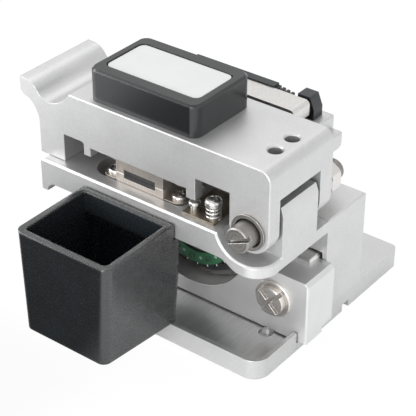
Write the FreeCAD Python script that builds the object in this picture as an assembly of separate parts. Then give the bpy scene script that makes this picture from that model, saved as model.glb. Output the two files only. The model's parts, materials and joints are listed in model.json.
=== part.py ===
import FreeCAD, Part
import math
import os

# Fibre cleaver, in millimetres.  +X runs along the clamping lever towards its pivot,
# +Y runs from the scrap bin to the fibre holder, +Z is up.  The origin is at the centre
# of the rubber foot, on the surface that the cleaver stands on.

V = FreeCAD.Vector
X_AXIS = V(1, 0, 0)
Y_AXIS = V(0, 1, 0)
Z_AXIS = V(0, 0, 1)

# ---------------------------------------------------------------- clearances
RUNNING = 0.05          # radial, shafts that turn in their bores
SLIDING = 0.05          # between the guide rail and its slider
SIDE_GAP = 0.4          # beside parts that pass each other
CLAMP_GAP = 0.12        # between the clamp pads, the width of a bare fibre
REST_GAP = 0.1          # under the lever's foot when it is closed
EMBED = 1.0             # how far screw shanks stop short inside their bodies

# ---------------------------------------------------------------- base plate
BASE_LENGTH = 62.4
BASE_DEPTH = 58.0
BASE_THICKNESS = 5.0
BASE_CORNER = 4.0
BASE_REAR_CORNER = 1.8
FOOT_STAND = 0.4
FOOT_THICKNESS = 1.0
FOOT_INSET = 3.0
TRAY_DEPTH = 2.9
TRAY_RIM = 1.1
DRAIN_R = 1.7
DRAIN_INSET = 10.2      # from the carriage's end
TRAY_CORNER = 2.8
SIDE_NOTCH_Y = 4.4
SIDE_NOTCH_WIDTH = 2.7
SIDE_NOTCH_HEIGHT = 1.8
SIDE_NOTCH_LENGTH = 2.5
FRAME_SCREW_SINK = 2.8
FRAME_SCREW_LENGTH = 6.0
FRAME_SCREW_INSET = 7.0
FRAME_SCREW_MARGIN = 3.6

# ---------------------------------------------------------------- upper frame
FRAME_SETBACK = 0.5
DECK_RISE = 29.5        # top of the deck above the base plate
DECK_THICKNESS = 5.8
DECK_REACH = 25.0       # from the deck's front edge to the rear block
BLOCK_DEPTH = 15.2
DECK_CORNER = 5.0
DECK_CHAMFER = 0.4
END_LIP_DROP = 2.2
END_LIP_WIDTH = 1.7
END_LIP_COVE = 2.3
CUP_FLOOR = 2.8
POST_SETBACK = 7.2
POST_DEPTH = 13.0
POST_RISE = 5.3
POST_HALF = 6.4
POST_EDGE = 1.4
POST_BEVEL_WIDTH = 0.75
POST_BEVEL_DROP = 2.1

# ---------------------------------------------------------------- lever pivot
PIVOT_INSET = 5.4
PIVOT_RISE = 1.8
PIN_R = 2.95
PIN_PROUD = 1.9         # in front of the deck's front edge
PIN_SLOT = 1.0
PIN_THREAD_R = 2.5
PIN_TAIL = 2.9          # thread beyond the nut
HUB_END_PLAY = 0.3      # between the lid's hub and the nut
NUT_FLATS = 7.0
NUT_HEIGHT = 3.4
BUSH_WALL = 1.25
BUSH_PROUD = 0.5        # in front of the lever's ear
BUSH_CHAMFER = 0.45
EAR_R = 5.2
CUP_R = 7.0

# ---------------------------------------------------------------- lever
LEVER_SETBACK = 2.4
LEVER_WIDTH = 23.3
LEVER_RISE = 17.8       # lever top above the deck
LEVER_REACH = 69.4      # lip tip to the lever's hinge end
LEVER_WALL = 2.5
LEVER_ROOF = 3.5
LEVER_END_R = 2.6
LEVER_CHAMFER = 0.2
FRONT_EAR = 3.7
REAR_EAR = 4.6
END_WALL = 3.0
WINDOW_RISE = 9.8
SKIRT_RISE = 6.2        # lower edge of the side walls above the deck
LEG_LENGTH = 7.3
LIP_LENGTH = 5.3
LIP_THICKNESS = 4.2
LIP_CORNER = 1.2
SCOOP_DEPTH = 4.1
SCOOP_START = 2.0
SCOOP_VALLEY = 8.6
SCOOP_END = 14.8
TOOTH_DROP = 2.2
FIRST_TOOTH = 1.9
SECOND_TOOTH = 2.4
THUMB_NOTCH = 6.0
THUMB_NOTCH_RISE = 7.1
SCREW_NOTCH = 9.0
SCREW_NOTCH_RISE = 9.5
TOP_HOLE_R = 1.6
TOP_HOLE_SPACING = 6.1
TOP_HOLE_CHAMFER = 0.35

# ---------------------------------------------------------------- cap on the lever
CAP_LENGTH = 29.8
CAP_WIDTH = 19.6
CAP_HEIGHT = 7.8
CAP_CORNER = 2.4
CAP_EDGE = 0.5
CAP_INSET = 1.4         # behind the lever's front face
CAP_SETBACK = 20.2      # from the lever's hinge end
CAP_SCREW_SHARE = 0.3   # of the cap's length, to each side of its middle
PANEL_MARGIN_X = 2.0
PANEL_MARGIN_Y = 3.1
PANEL_CORNER = 1.6
PANEL_DEPTH = 0.7
PANEL_THICKNESS = 0.5

# ---------------------------------------------------------------- fibre line and clamps
FIBRE_INSET = 35.8      # fibre line from the frame's end face
FIBRE_RISE = 2.4
CLAMP_LENGTH = 13.3
CLAMP_SETBACK = 3.3
FRONT_CLAMP_DEPTH = 9.7
REAR_CLAMP_DEPTH = 3.9
CLAMP_SEAT = 2.6
CLAMP_WING = 4.9
WING_DEPTH = 5.8
WING_PROUD = 0.2
UPPER_JAW = 3.6
JAW_RELIEF = 1.5
BRIDGE_THICKNESS = 2.4
PAD_LENGTH = 8.9
PAD_HEIGHT = 1.05
CLAMP_LIFT = 0.8
ANVIL_LENGTH = 5.6
ANVIL_DEPTH = 3.0
ANVIL_CLEARANCE = 0.5

# ---------------------------------------------------------------- blade carriage
CARRIAGE_SETBACK = 14.5
CARRIAGE_DEPTH = 10.3
CARRIAGE_LENGTH = 49.9
CARRIAGE_OVERHANG = 2.3
CARRIAGE_FLOOR_GAP = 0.4
SHELF_HEIGHT = 16.35
TOWER_GAP = 1.5         # between the carriage's tower and the deck
TOWER_INSET = 14.9
CARRIAGE_CHAMFER = 0.9
HEEL_DEPTH = 6.3
HEEL_RISE = 1.4
TRAVEL = 12.5
WHEEL_INSET = 32.5
WHEEL_DROP = 12.8       # wheel's axis below the deck's top
POCKET_R = 15.6
POCKET_DEPTH = 5.9

# ---------------------------------------------------------------- blade wheel
BLADE_R = 15.1
BLADE_THICKNESS = 0.6
FLANGE_R = 13.6
FLANGE_THICKNESS = 0.5
DIAL_R = 11.7
DIAL_THICKNESS = 2.0
NUMBER_RING_OUTER = 10.9
NUMBER_RING_INNER = 7.9
NUMBER_RING_THICKNESS = 0.3
REAR_FLANGE_R = 9.0
REAR_FLANGE_THICKNESS = 0.9
SPINDLE_R = 2.0
SPINDLE_HEAD_R = 3.2
SPINDLE_HEAD_HEIGHT = 1.2
SPINDLE_PROUD = 1.5     # in front of the dial
SPINDLE_SLOT = 0.8
WHEEL_POSITIONS = 24
DETENT_R = 0.6

# ---------------------------------------------------------------- height adjuster
ADJUSTER_INSET = 9.15
ADJUSTER_HEIGHT = 9.15
ADJUSTER_R = 3.6
ADJUSTER_PROUD = 1.9
ADJUSTER_DEPTH = 5.8
ADJUSTER_BUSH_R = 4.75
ADJUSTER_BUSH_PROUD = 0.6
ADJUSTER_SLOT = 1.0
ADJUSTER_SLOT_DEPTH = 1.2
ADJUSTER_TURN = 44

# ---------------------------------------------------------------- linear guide
SLIDER_LENGTH = 17.3
SLIDER_END_INSET = 4.0
SLIDER_DEPTH = 8.2
SLIDER_HEIGHT = 10.2
SLIDER_BASE = 7.4       # above the carriage's underside
SLIDER_SINK = 4.0       # into the carriage's back
SLIDER_CHAMFER = 0.5
SLIDER_SCREW_INSET = 4.0
RAIL_HEIGHT = 5.8
RAIL_DEPTH = 4.0
RAIL_GROOVE = 0.6
CHANNEL_DEPTH = 5.5
CHANNEL_GAP = 0.4
CHANNEL_END = 1.2
RAIL_INSET = 1.0        # from the frame's open end
RAIL_END_GAP = 0.6      # from the channel's closed end
RAIL_SCREW_INSET = 6.0
RAIL_SCREW_COUNT = 4

# ---------------------------------------------------------------- guard plate and spring screw
GUARD_LENGTH = 8.6
GUARD_DEPTH = 11.6
GUARD_THICKNESS = 0.5
GUARD_SETBACK = 1.7
GUARD_INSET = 14.1      # from the frame's end face
SPRING_SCREW_X = 7.2    # from the guard plate's left edge
SPRING_SCREW_Y = 1.9
SMALL_SCREW_X = 2.1
SMALL_SCREW_NECK = 1.7
SMALL_HEAD_R = 1.35
SMALL_HEAD_HEIGHT = 1.1
SPRING_R = 1.5
SPRING_WIRE = 0.22
SPRING_PITCH = 0.95
SPRING_SCREW_HEIGHT = 5.9

# ---------------------------------------------------------------- scrap bin
BIN_LENGTH = 26.0
BIN_REACH = 22.7
BIN_HEIGHT = 26.5
BIN_WALL = 1.5
BIN_CORNER = 2.0
BIN_DROP = 2.2          # rim below the deck's top
BIN_TAPER_END = 2.5     # at the front; the right side is nearly upright at the back
BIN_TAPER_BACK = 0.4
BIN_TAPER_FRONT = 0.9
BIN_INSET = 13.3        # from the frame's left end
BIN_TONGUE = 4.0        # part of the bin that slides under the deck
BIN_TONGUE_TAPER = 2.0
BIN_FOOT_LENGTH = 4.0
BIN_FOOT_HEIGHT = 0.9
BIN_FOOT_WIDTH = 5.0
BIN_FOOT_SETBACK = 3.4  # from the deck's front edge
BIN_GAP = 0.4
BIN_LEDGE = 0.8

# ---------------------------------------------------------------- fibre holder
HOLDER_LENGTH = 38.0
HOLDER_DEPTH = 12.2
HOLDER_SETBACK = 1.9    # behind the front of the rear block
HOLDER_GROOVE_R = 0.5
LID_END_INSET = 9.0     # from the frame's end face
LID_TOP_RISE = 12.3     # above the deck's top
LID_BODY_THICKNESS = 2.6
LID_LEDGE = 2.4
LID_LEDGE_DROP = 3.5
LID_LEDGE_HEIGHT = 2.5
LID_LEDGE_R = 3.4
LID_WEB = 7.0
LID_HUB_R = 3.7
LID_HUB_THICKNESS = 2.3
LID_EDGE = 0.3
SPRING_COVER_RISE = 17.5
COVER_THICKNESS = 0.7
COVER_SPAN = 33.0
COVER_BEND = 3.6
COVER_BEND_R = 1.2
INSERT_STRIP = 2.2
COVER_SETBACK = 3.6     # finger strip from the lid's back
THUMB_POST_WIDTH = 3.8
THUMB_POST_DEPTH = 3.4
THUMB_POST_HEIGHT = 5.4
LID_PAD_LENGTH = 8.0
LID_PAD_MARGIN = 0.8
LID_PAD_GAP = 0.3

# ---------------------------------------------------------------- screws
M2_HEAD_R = 1.9
M2_HEAD_HEIGHT = 1.3
M2_SHANK_R = 1.0
M3_HEAD_R = 2.75
M3_HEAD_HEIGHT = 2.0
M3_SHANK_R = 1.5
CROWN_START = 0.72      # where a screw head's dome starts, as a share of its height

# ---------------------------------------------------------------- datum lines
end_x = BASE_LENGTH / 2
base_z = FOOT_STAND
base_top = base_z + BASE_THICKNESS
deck_y = -BASE_DEPTH / 2 + FRAME_SETBACK
block_y = deck_y + DECK_REACH
block_back = block_y + BLOCK_DEPTH
deck_top = base_top + DECK_RISE
deck_under = deck_top - DECK_THICKNESS
pivot_x = end_x - PIVOT_INSET
pivot_z = deck_top + PIVOT_RISE
block_top = pivot_z - CUP_R
post_y = deck_y + POST_SETBACK
post_back = post_y + POST_DEPTH
lever_y = deck_y + LEVER_SETBACK
lever_back = lever_y + LEVER_WIDTH
lever_top = deck_top + LEVER_RISE
lever_end = pivot_x + EAR_R
lip_x = lever_end - LEVER_REACH
fibre_x = end_x - FIBRE_INSET
fibre_z = deck_top + FIBRE_RISE
carriage_y = deck_y + CARRIAGE_SETBACK
carriage_back = carriage_y + CARRIAGE_DEPTH
carriage_end = end_x + CARRIAGE_OVERHANG
carriage_start = carriage_end - CARRIAGE_LENGTH
tray_floor = base_top - TRAY_DEPTH
carriage_z = tray_floor + CARRIAGE_FLOOR_GAP
wheel_x = carriage_end - WHEEL_INSET
wheel_z = deck_top - WHEEL_DROP
tower_top = deck_under - TOWER_GAP
wheel_back = carriage_y + POCKET_DEPTH
rear_flange_y = wheel_back - 0.3 - REAR_FLANGE_THICKNESS
blade_y = rear_flange_y - BLADE_THICKNESS
flange_y = blade_y - FLANGE_THICKNESS
dial_y = flange_y - DIAL_THICKNESS
number_ring_y = dial_y - NUMBER_RING_THICKNESS


# ================================================================ solid helpers
def block(x0, x1, y0, y1, z0, z1):
    return Part.makeBox(x1 - x0, y1 - y0, z1 - z0, V(x0, y0, z0))


def rod(centre, axis, radius, length):
    """Cylinder that starts at centre and runs along axis."""
    return Part.makeCylinder(radius, length, centre, axis)


def tube(centre, axis, outer, inner, length):
    return rod(centre, axis, outer, length).cut(rod(centre, axis, inner, length))


def edges_of(solid, keep):
    return [edge for edge in solid.Edges if keep(edge)]


def runs_along(edge, axis):
    if edge.Curve.TypeId != "Part::GeomLine":
        return False
    direction = edge.Curve.Direction
    return abs(abs(direction.dot(axis)) - 1) < 1e-6


def rounded_block(x0, x1, y0, y1, z0, z1, radius):
    """Block with its upright edges rounded."""
    solid = block(x0, x1, y0, y1, z0, z1)
    return solid.makeFillet(radius, edges_of(solid, lambda edge: runs_along(edge, Z_AXIS)))


def soften_top(solid, z, size):
    """Chamfers every edge that lies in the plane at height z."""
    def on_top(edge):
        box = edge.BoundBox
        return abs(box.ZMin - z) < 1e-6 and abs(box.ZMax - z) < 1e-6
    return solid.makeChamfer(size, edges_of(solid, on_top))


class SideProfile:
    """Closed outline in an XZ plane, drawn with lines and arcs, then extruded along Y."""

    def __init__(self, x, z):
        self.start = V(x, 0, z)
        self.at = self.start
        self.edges = []

    def line(self, x, z):
        end = V(x, 0, z)
        self.edges.append(Part.LineSegment(self.at, end).toShape())
        self.at = end
        return self

    def arc(self, mid_x, mid_z, x, z):
        end = V(x, 0, z)
        self.edges.append(Part.Arc(self.at, V(mid_x, 0, mid_z), end).toShape())
        self.at = end
        return self

    def extrude(self, y0, y1):
        if (self.at - self.start).Length > 1e-7:
            self.line(self.start.x, self.start.z)
        face = Part.Face(Part.Wire(self.edges))
        face.translate(V(0, y0, 0))
        return face.extrude(V(0, y1 - y0, 0))


def corner_mid(centre_x, centre_z, radius, degrees):
    """Point on a circle, used as the middle of an arc."""
    angle = math.radians(degrees)
    return centre_x + radius * math.cos(angle), centre_z + radius * math.sin(angle)


def cross_cut(point, axis, width, span, depth):
    """Cross-shaped recess cut into a face at point, whose outward normal is axis."""
    bar_a = Part.makeBox(span, width, depth, V(-span / 2, -width / 2, -depth))
    bar_b = Part.makeBox(width, span, depth, V(-width / 2, -span / 2, -depth))
    cut = bar_a.fuse(bar_b)
    cut.Placement = FreeCAD.Placement(point, FreeCAD.Rotation(Z_AXIS, axis))
    return cut


def pan_screw(seat, axis, head_r, head_height, shank_r, length):
    """Pan-head screw seated at seat; axis points out of the head."""
    outline = SideProfile(0, 0)
    outline.line(head_r, 0)
    outline.line(head_r, head_height * 0.35)
    outline.arc(head_r * 0.965, head_height * 0.555, head_r * 0.88, head_height * CROWN_START)
    outline.arc(head_r * 0.46, head_height * 0.926, 0, head_height)
    outline.line(0, 0)
    head = Part.Face(Part.Wire(outline.edges)).revolve(V(0, 0, 0), Z_AXIS, 360)
    head.Placement = FreeCAD.Placement(seat, FreeCAD.Rotation(Z_AXIS, axis))
    head = head.cut(cross_cut(seat + axis * head_height, axis, head_r * 0.24, head_r * 1.1, head_height * 0.45))
    shank = rod(seat, axis * -1, shank_r, length)
    return head.fuse(shank)


def coil(centre, radius, wire_r, pitch, height):
    """Compression spring that stands on centre."""
    helix = Part.makeHelix(pitch, height, radius)
    section = Part.Wire(Part.makeCircle(wire_r, V(radius, 0, 0), Y_AXIS))
    spring = Part.Wire(helix).makePipeShell([section], True, True)
    spring.translate(centre)
    return spring


def m2_hole(point, axis, depth):
    return rod(point, axis, M2_SHANK_R, depth)


# ================================================================ base plate and foot
def base_plate():
    plate = block(-end_x, end_x, -BASE_DEPTH / 2, BASE_DEPTH / 2, base_z, base_top)
    for radius, side in ((BASE_CORNER, -1), (BASE_REAR_CORNER, 1)):
        corners = edges_of(plate, lambda edge: runs_along(edge, Z_AXIS) and edge.CenterOfMass.y * side > BASE_DEPTH / 2 - 0.01)
        plate = plate.makeFillet(radius, corners)
    front = -BASE_DEPTH / 2 + TRAY_RIM
    tray = rounded_block(-end_x + TRAY_RIM, end_x - TRAY_RIM, front, block_y, tray_floor, base_top, TRAY_CORNER)
    lane = block(-end_x - 1, end_x + 1, carriage_y - SIDE_GAP, block_y, tray_floor, base_top)
    seat = foot_outline(base_z, base_z + FOOT_THICKNESS - FOOT_STAND)
    plate = plate.cut(tray).cut(lane).cut(seat)
    for x in (-end_x, end_x - SIDE_NOTCH_LENGTH):
        notch = block(x, x + SIDE_NOTCH_LENGTH, SIDE_NOTCH_Y, SIDE_NOTCH_Y + SIDE_NOTCH_WIDTH,
                      base_z, base_z + SIDE_NOTCH_HEIGHT)
        plate = plate.cut(notch)
    for point in frame_screw_points():
        plate = plate.cut(rod(V(point.x, point.y, base_z), Z_AXIS, M3_SHANK_R, BASE_THICKNESS))
        plate = plate.cut(rod(V(point.x, point.y, base_z), Z_AXIS, M3_HEAD_R, FRAME_SCREW_SINK))
    drain = V(carriage_end - DRAIN_INSET, carriage_y - DRAIN_R * 0.65, tray_floor - 1.0)
    return plate.cut(rod(drain, Z_AXIS, DRAIN_R, BASE_THICKNESS))


def frame_screw_points():
    reach = end_x - FRAME_SCREW_INSET
    rows = (block_y + FRAME_SCREW_MARGIN, block_back - FRAME_SCREW_MARGIN)
    return [V(x, y, 0) for x in (-reach, reach) for y in rows]


def foot_outline(z0, z1):
    return rounded_block(-end_x + FOOT_INSET, end_x - FOOT_INSET,
                         -BASE_DEPTH / 2 + FOOT_INSET, BASE_DEPTH / 2 - FOOT_INSET, z0, z1, BASE_CORNER)


def rubber_foot():
    return foot_outline(0, FOOT_THICKNESS)


def frame_screws():
    screws = []
    for point in frame_screw_points():
        seat = V(point.x, point.y, base_z + FRAME_SCREW_SINK)
        screws.append(pan_screw(seat, Z_AXIS * -1, M3_HEAD_R - 0.25, M3_HEAD_HEIGHT - 0.2,
                                M3_SHANK_R, FRAME_SCREW_LENGTH))
    return Part.makeCompound(screws)


# ================================================================ upper frame
def deck_profile():
    """Deck outline from the left lip to the cup under the front ear."""
    lip_z = deck_under - END_LIP_DROP
    cup_under = pivot_z - CUP_R - CUP_FLOOR
    cove_x = -end_x + END_LIP_WIDTH
    drop = deck_under - cup_under
    bend_x = pivot_x - CUP_R + 1.0
    profile = SideProfile(-end_x + 0.6, deck_top)
    profile.line(-end_x, deck_top - 0.6)
    profile.line(-end_x, lip_z)
    profile.line(cove_x, lip_z)
    mid = corner_mid(cove_x + END_LIP_COVE, lip_z, END_LIP_COVE, 132)
    profile.arc(mid[0], mid[1], cove_x + END_LIP_COVE, deck_under)
    profile.line(bend_x, deck_under)
    profile.arc(bend_x + drop * 0.75, deck_under - drop * 0.22, bend_x + drop * 1.2, deck_under - drop * 0.5)
    profile.arc(bend_x + drop * 1.65, cup_under + drop * 0.22, bend_x + drop * 2.4, cup_under)
    profile.line(end_x, cup_under)
    profile.line(end_x, deck_top)
    return profile


def cup_cut(y0, y1):
    """Room for an ear of the lever to turn about the pivot."""
    arc_room = rod(V(pivot_x, y0, pivot_z), Y_AXIS, CUP_R, y1 - y0)
    side_room = block(pivot_x, end_x + 1, y0, y1, pivot_z - CUP_R, pivot_z + CUP_R)
    return arc_room.fuse(side_room)


def wheel_slot():
    """Slot in the deck that the blade wheel sweeps as the carriage travels."""
    reach = math.sqrt(FLANGE_R ** 2 - (deck_under - wheel_z) ** 2) + SIDE_GAP
    tip = math.sqrt(BLADE_R ** 2 - (deck_under - wheel_z) ** 2) + SIDE_GAP
    wide = block(wheel_x - TRAVEL - reach, wheel_x + reach,
                 number_ring_y - SIDE_GAP, wheel_back - 0.2, deck_under - 1, deck_top + 1)
    narrow = block(wheel_x - TRAVEL - tip, wheel_x + tip,
                   blade_y - SIDE_GAP, blade_y + BLADE_THICKNESS + SIDE_GAP, deck_under - 1, deck_top + 1)
    return wide.fuse(narrow)


def clamp_seat():
    """Rounded pocket in the deck that the lower front clamp sits in."""
    x0 = fibre_x - CLAMP_LENGTH / 2 - CLAMP_WING - 3.2
    x1 = fibre_x + CLAMP_LENGTH / 2 + CLAMP_WING + 0.3
    y0 = deck_y + CLAMP_SETBACK - 0.1
    y1 = y0 + FRONT_CLAMP_DEPTH + 0.2
    round_end = rounded_block(x0, x1 - 5, y0, y1, deck_top - CLAMP_SEAT, deck_top + 1, 4.4)
    square_end = rounded_block(x0 + 9, x1, y0, y1, deck_top - CLAMP_SEAT, deck_top + 1, 2.0)
    return round_end.fuse(square_end)


def rail_channel():
    """Channel in the rear block for the linear guide, closed at the frame's end."""
    z0 = carriage_z + SLIDER_BASE - CHANNEL_GAP
    z1 = z0 + SLIDER_HEIGHT + 2 * CHANNEL_GAP
    return block(-end_x - 1, end_x - CHANNEL_END, block_y - 1, block_y + CHANNEL_DEPTH, z0, z1)


def front_top_edge(edge):
    """Front upper edge of the deck, along the flat and around the cup."""
    centre = edge.CenterOfMass
    box = edge.BoundBox
    in_front = box.YMax < deck_y + 1e-6
    return in_front and box.ZMin > pivot_z - CUP_R - 1e-6 and centre.x > -end_x + 0.7


def upper_frame():
    deck = deck_profile().extrude(deck_y, block_y)
    def front_corner(edge):
        centre = edge.CenterOfMass
        return runs_along(edge, Z_AXIS) and centre.x > end_x - 0.01 and centre.y < deck_y + 0.01
    deck = deck.makeFillet(DECK_CORNER, edges_of(deck, front_corner))
    rear = block(-end_x, end_x, block_y, block_back, base_top, block_top)
    rear = soften_top(rear, block_top, 0.3)
    post = block(pivot_x - POST_HALF, end_x, post_y, post_back, deck_under, pivot_z + POST_RISE)

    def post_edge(edge):
        centre = edge.CenterOfMass
        return runs_along(edge, Y_AXIS) and centre.z > pivot_z and centre.x < pivot_x
    post = post.makeFillet(POST_EDGE, edges_of(post, post_edge))
    bevel = SideProfile(end_x - POST_BEVEL_WIDTH, pivot_z + POST_RISE)
    bevel.line(end_x, pivot_z + POST_RISE)
    bevel.line(end_x, pivot_z + POST_RISE - POST_BEVEL_DROP)
    post = post.cut(bevel.extrude(post_y, post_back))
    deck = deck.cut(cup_cut(deck_y - 1, post_y)).cut(cup_cut(post_back, block_y))
    deck = deck.makeChamfer(DECK_CHAMFER, edges_of(deck, front_top_edge))
    frame = deck
    frame = frame.fuse(rear).fuse(post).removeSplitter()
    frame = frame.cut(wheel_slot()).cut(clamp_seat()).cut(rail_channel())
    frame = frame.cut(rod(V(pivot_x, post_y - 1, pivot_z), Y_AXIS, PIN_R, POST_DEPTH + 2))
    for point in frame_screw_points():
        depth = FRAME_SCREW_LENGTH - (base_top - base_z - FRAME_SCREW_SINK)
        frame = frame.cut(rod(V(point.x, point.y, base_top), Z_AXIS, M3_SHANK_R, depth))
    for x, y in lower_screw_points():
        frame = frame.cut(m2_hole(V(x, y, deck_top + 1), Z_AXIS * -1, 1 + LOWER_SCREW_DEPTH))
    for point in rail_screw_points():
        frame = frame.cut(m2_hole(point, Y_AXIS, RAIL_SCREW_LENGTH))
    for x, y in guard_screw_points():
        frame = frame.cut(m2_hole(V(x, y, deck_top), Z_AXIS * -1, GUARD_SCREW_DEPTH))
    for x, y in holder_screw_points():
        frame = frame.cut(m2_hole(V(x, y, block_top), Z_AXIS * -1, HOLDER_SCREW_DEPTH))
    return frame


# ================================================================ lever pivot
def pivot_pin():
    front = deck_y - PIN_PROUD
    tail = nut_y() + NUT_HEIGHT + PIN_TAIL
    pin = rod(V(pivot_x, front, pivot_z), Y_AXIS, PIN_R, nut_y() - front)
    thread = rod(V(pivot_x, front, pivot_z), Y_AXIS, PIN_THREAD_R, tail - front)

    def rims(edge):
        return edge.Curve.TypeId == "Part::GeomCircle"
    pin = pin.makeChamfer(0.25, edges_of(pin, rims))
    thread = thread.makeChamfer(0.25, edges_of(thread, rims))
    slot = block(-PIN_R - 1, PIN_R + 1, front - 1, front + 1.3, -PIN_SLOT / 2, PIN_SLOT / 2)
    slot.rotate(V(0, 0, 0), Y_AXIS, -24)
    slot.translate(V(pivot_x, 0, pivot_z))
    return pin.fuse(thread).cut(slot)


def pivot_nut():
    """Hexagon nut on the pin's threaded end, with its corners chamfered."""
    start = V(pivot_x, nut_y(), pivot_z)
    across = NUT_FLATS / math.sqrt(3)
    corners = []
    for index in range(7):
        angle = math.radians(30 + 60 * index)
        corners.append(V(pivot_x + across * math.cos(angle), nut_y(), pivot_z + across * math.sin(angle)))
    nut = Part.Face(Part.makePolygon(corners)).extrude(V(0, NUT_HEIGHT, 0))
    drum = rod(start, Y_AXIS, across, NUT_HEIGHT)

    def rims(edge):
        return edge.Curve.TypeId == "Part::GeomCircle"
    drum = drum.makeChamfer(0.35, edges_of(drum, rims))
    return nut.common(drum).cut(rod(start, Y_AXIS, PIN_THREAD_R, NUT_HEIGHT))


def lid_hub_y():
    return lever_back + SIDE_GAP


def nut_y():
    return lid_hub_y() + LID_HUB_THICKNESS + HUB_END_PLAY


def ear_bushings():
    outer = PIN_R + RUNNING + BUSH_WALL
    inner = PIN_R + RUNNING
    face = V(pivot_x, lever_y - BUSH_PROUD, pivot_z)
    front = tube(face, Y_AXIS, outer, inner, FRONT_EAR + BUSH_PROUD)
    front = front.cut(Part.makeCone(inner + BUSH_CHAMFER, inner, 2 * BUSH_CHAMFER, face, Y_AXIS))
    rear = tube(V(pivot_x, lever_back - REAR_EAR, pivot_z), Y_AXIS, outer, inner, REAR_EAR)
    return Part.makeCompound([front, rear])


# ================================================================ lever
def lever_outline():
    """Side view of the lever, clockwise from the lip's tip."""
    leg_x = lip_x + LIP_LENGTH
    lip_z = lever_top - LIP_THICKNESS
    skirt_z = deck_top + SKIRT_RISE
    foot_z = deck_top + REST_GAP
    tooth_z = skirt_z - TOOTH_DROP
    thumb_z = deck_top + THUMB_NOTCH_RISE
    screw_z = deck_top + SCREW_NOTCH_RISE
    ear_left = pivot_x - EAR_R
    notch_left = ear_left - SCREW_NOTCH
    leg_right = leg_x + LEG_LENGTH
    tooth_left = leg_right + THUMB_NOTCH
    valley_z = lever_top - SCOOP_DEPTH
    crest_x = lip_x + SCOOP_START
    valley_x = lip_x + SCOOP_VALLEY
    cove_r = 6.5
    cove_z = lip_z - 5.9

    profile = SideProfile(lip_x, lip_z + LIP_CORNER)
    profile.line(lip_x, lever_top)
    profile.line(crest_x, lever_top - 0.1)
    inflection_x = (crest_x + valley_x) / 2 - 0.2
    inflection_z = (lever_top + valley_z) / 2
    profile.arc(crest_x + 1.5, lever_top - 0.6, inflection_x, inflection_z)
    profile.arc(valley_x - 1.3, valley_z + 0.25, valley_x, valley_z)
    profile.arc(valley_x + 2.3, valley_z + 0.65, lip_x + SCOOP_END, lever_top)
    profile.line(lever_end - LEVER_END_R, lever_top)
    mid = corner_mid(lever_end - LEVER_END_R, lever_top - LEVER_END_R, LEVER_END_R, 45)
    profile.arc(mid[0], mid[1], lever_end, lever_top - LEVER_END_R)
    profile.line(lever_end, pivot_z)
    profile.arc(pivot_x, pivot_z - EAR_R, ear_left, pivot_z)
    profile.line(ear_left, screw_z)
    profile.line(notch_left, screw_z)
    profile.line(notch_left, tooth_z)
    profile.line(notch_left - SECOND_TOOTH, tooth_z)
    profile.line(notch_left - SECOND_TOOTH, skirt_z)
    profile.line(tooth_left + FIRST_TOOTH, skirt_z)
    profile.line(tooth_left + FIRST_TOOTH, tooth_z)
    profile.line(tooth_left, tooth_z)
    profile.line(tooth_left, thumb_z - 0.8)
    mid = corner_mid(tooth_left - 0.8, thumb_z - 0.8, 0.8, 45)
    profile.arc(mid[0], mid[1], tooth_left - 0.8, thumb_z)
    profile.line(leg_right, thumb_z)
    profile.line(leg_right, foot_z)
    profile.line(leg_x, foot_z)
    profile.line(leg_x, cove_z)
    mid = corner_mid(leg_x - cove_r, cove_z, cove_r, 25)
    under = corner_mid(leg_x - cove_r, cove_z, cove_r, 58)
    profile.arc(mid[0], mid[1], under[0], under[1])
    profile.arc(lip_x + 0.45, lip_z + 0.35, lip_x, lip_z + LIP_CORNER)
    return profile


def lever_hollow():
    leg_right = lip_x + LIP_LENGTH + LEG_LENGTH
    roof = lever_top - LEVER_ROOF
    floor = deck_top - 12
    ear_room = pivot_x - EAR_R - 2.0
    long_room = block(leg_right, ear_room, lever_y + LEVER_WALL, lever_back - LEVER_WALL, floor, roof)
    neck = block(ear_room - 1, lever_end - END_WALL, lever_y + FRONT_EAR, lever_back - REAR_EAR, floor, roof)
    window = block(lever_end - END_WALL - 1, lever_end + 1, lever_y + FRONT_EAR, lever_back - REAR_EAR,
                   floor, deck_top + WINDOW_RISE)
    return long_room.fuse(neck).fuse(window)


def jaw_relief():
    """Room in the front and rear walls for the upper clamp's jaws as it floats."""
    left, right = clamp_span()
    skirt_z = deck_top + SKIRT_RISE
    front = front_clamp_y() - SIDE_GAP / 2
    back = rear_clamp_y() + REAR_CLAMP_DEPTH + SIDE_GAP / 2
    return block(left - SIDE_GAP, right + SIDE_GAP, front, back, skirt_z - 1, skirt_z + JAW_RELIEF)


def top_hole_points():
    x = pivot_x + 0.2
    middle = (lever_y + lever_back) / 2
    return [V(x, middle + side * TOP_HOLE_SPACING / 2, lever_top) for side in (-1, 1)]


def lever_arm():
    lever = lever_outline().extrude(lever_y, lever_back)

    def top_side(edge):
        box = edge.BoundBox
        return box.ZMin > lever_top - 1e-6 and box.YLength < 1e-6 and box.XLength > 20
    lever = lever.makeChamfer(LEVER_CHAMFER, edges_of(lever, top_side))
    lever = lever.cut(lever_hollow()).cut(jaw_relief())
    for point in top_hole_points():
        lever = lever.cut(rod(point, Z_AXIS * -1, TOP_HOLE_R, LEVER_ROOF))
        sink = Part.makeCone(TOP_HOLE_R + TOP_HOLE_CHAMFER, TOP_HOLE_R, TOP_HOLE_CHAMFER, point, Z_AXIS * -1)
        lever = lever.cut(sink)
    bore_r = PIN_R + RUNNING + BUSH_WALL
    lever = lever.cut(rod(V(pivot_x, lever_y - 1, pivot_z), Y_AXIS, bore_r, LEVER_WIDTH + 2))
    for x, y in upper_screw_points():
        lever = lever.cut(m2_hole(V(x, y, lever_top - LEVER_ROOF), Z_AXIS, GUIDE_SCREW_HOLD))
    for x, y in cap_screw_points():
        lever = lever.cut(m2_hole(V(x, y, lever_top), Z_AXIS * -1, LEVER_ROOF))
    return lever


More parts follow.
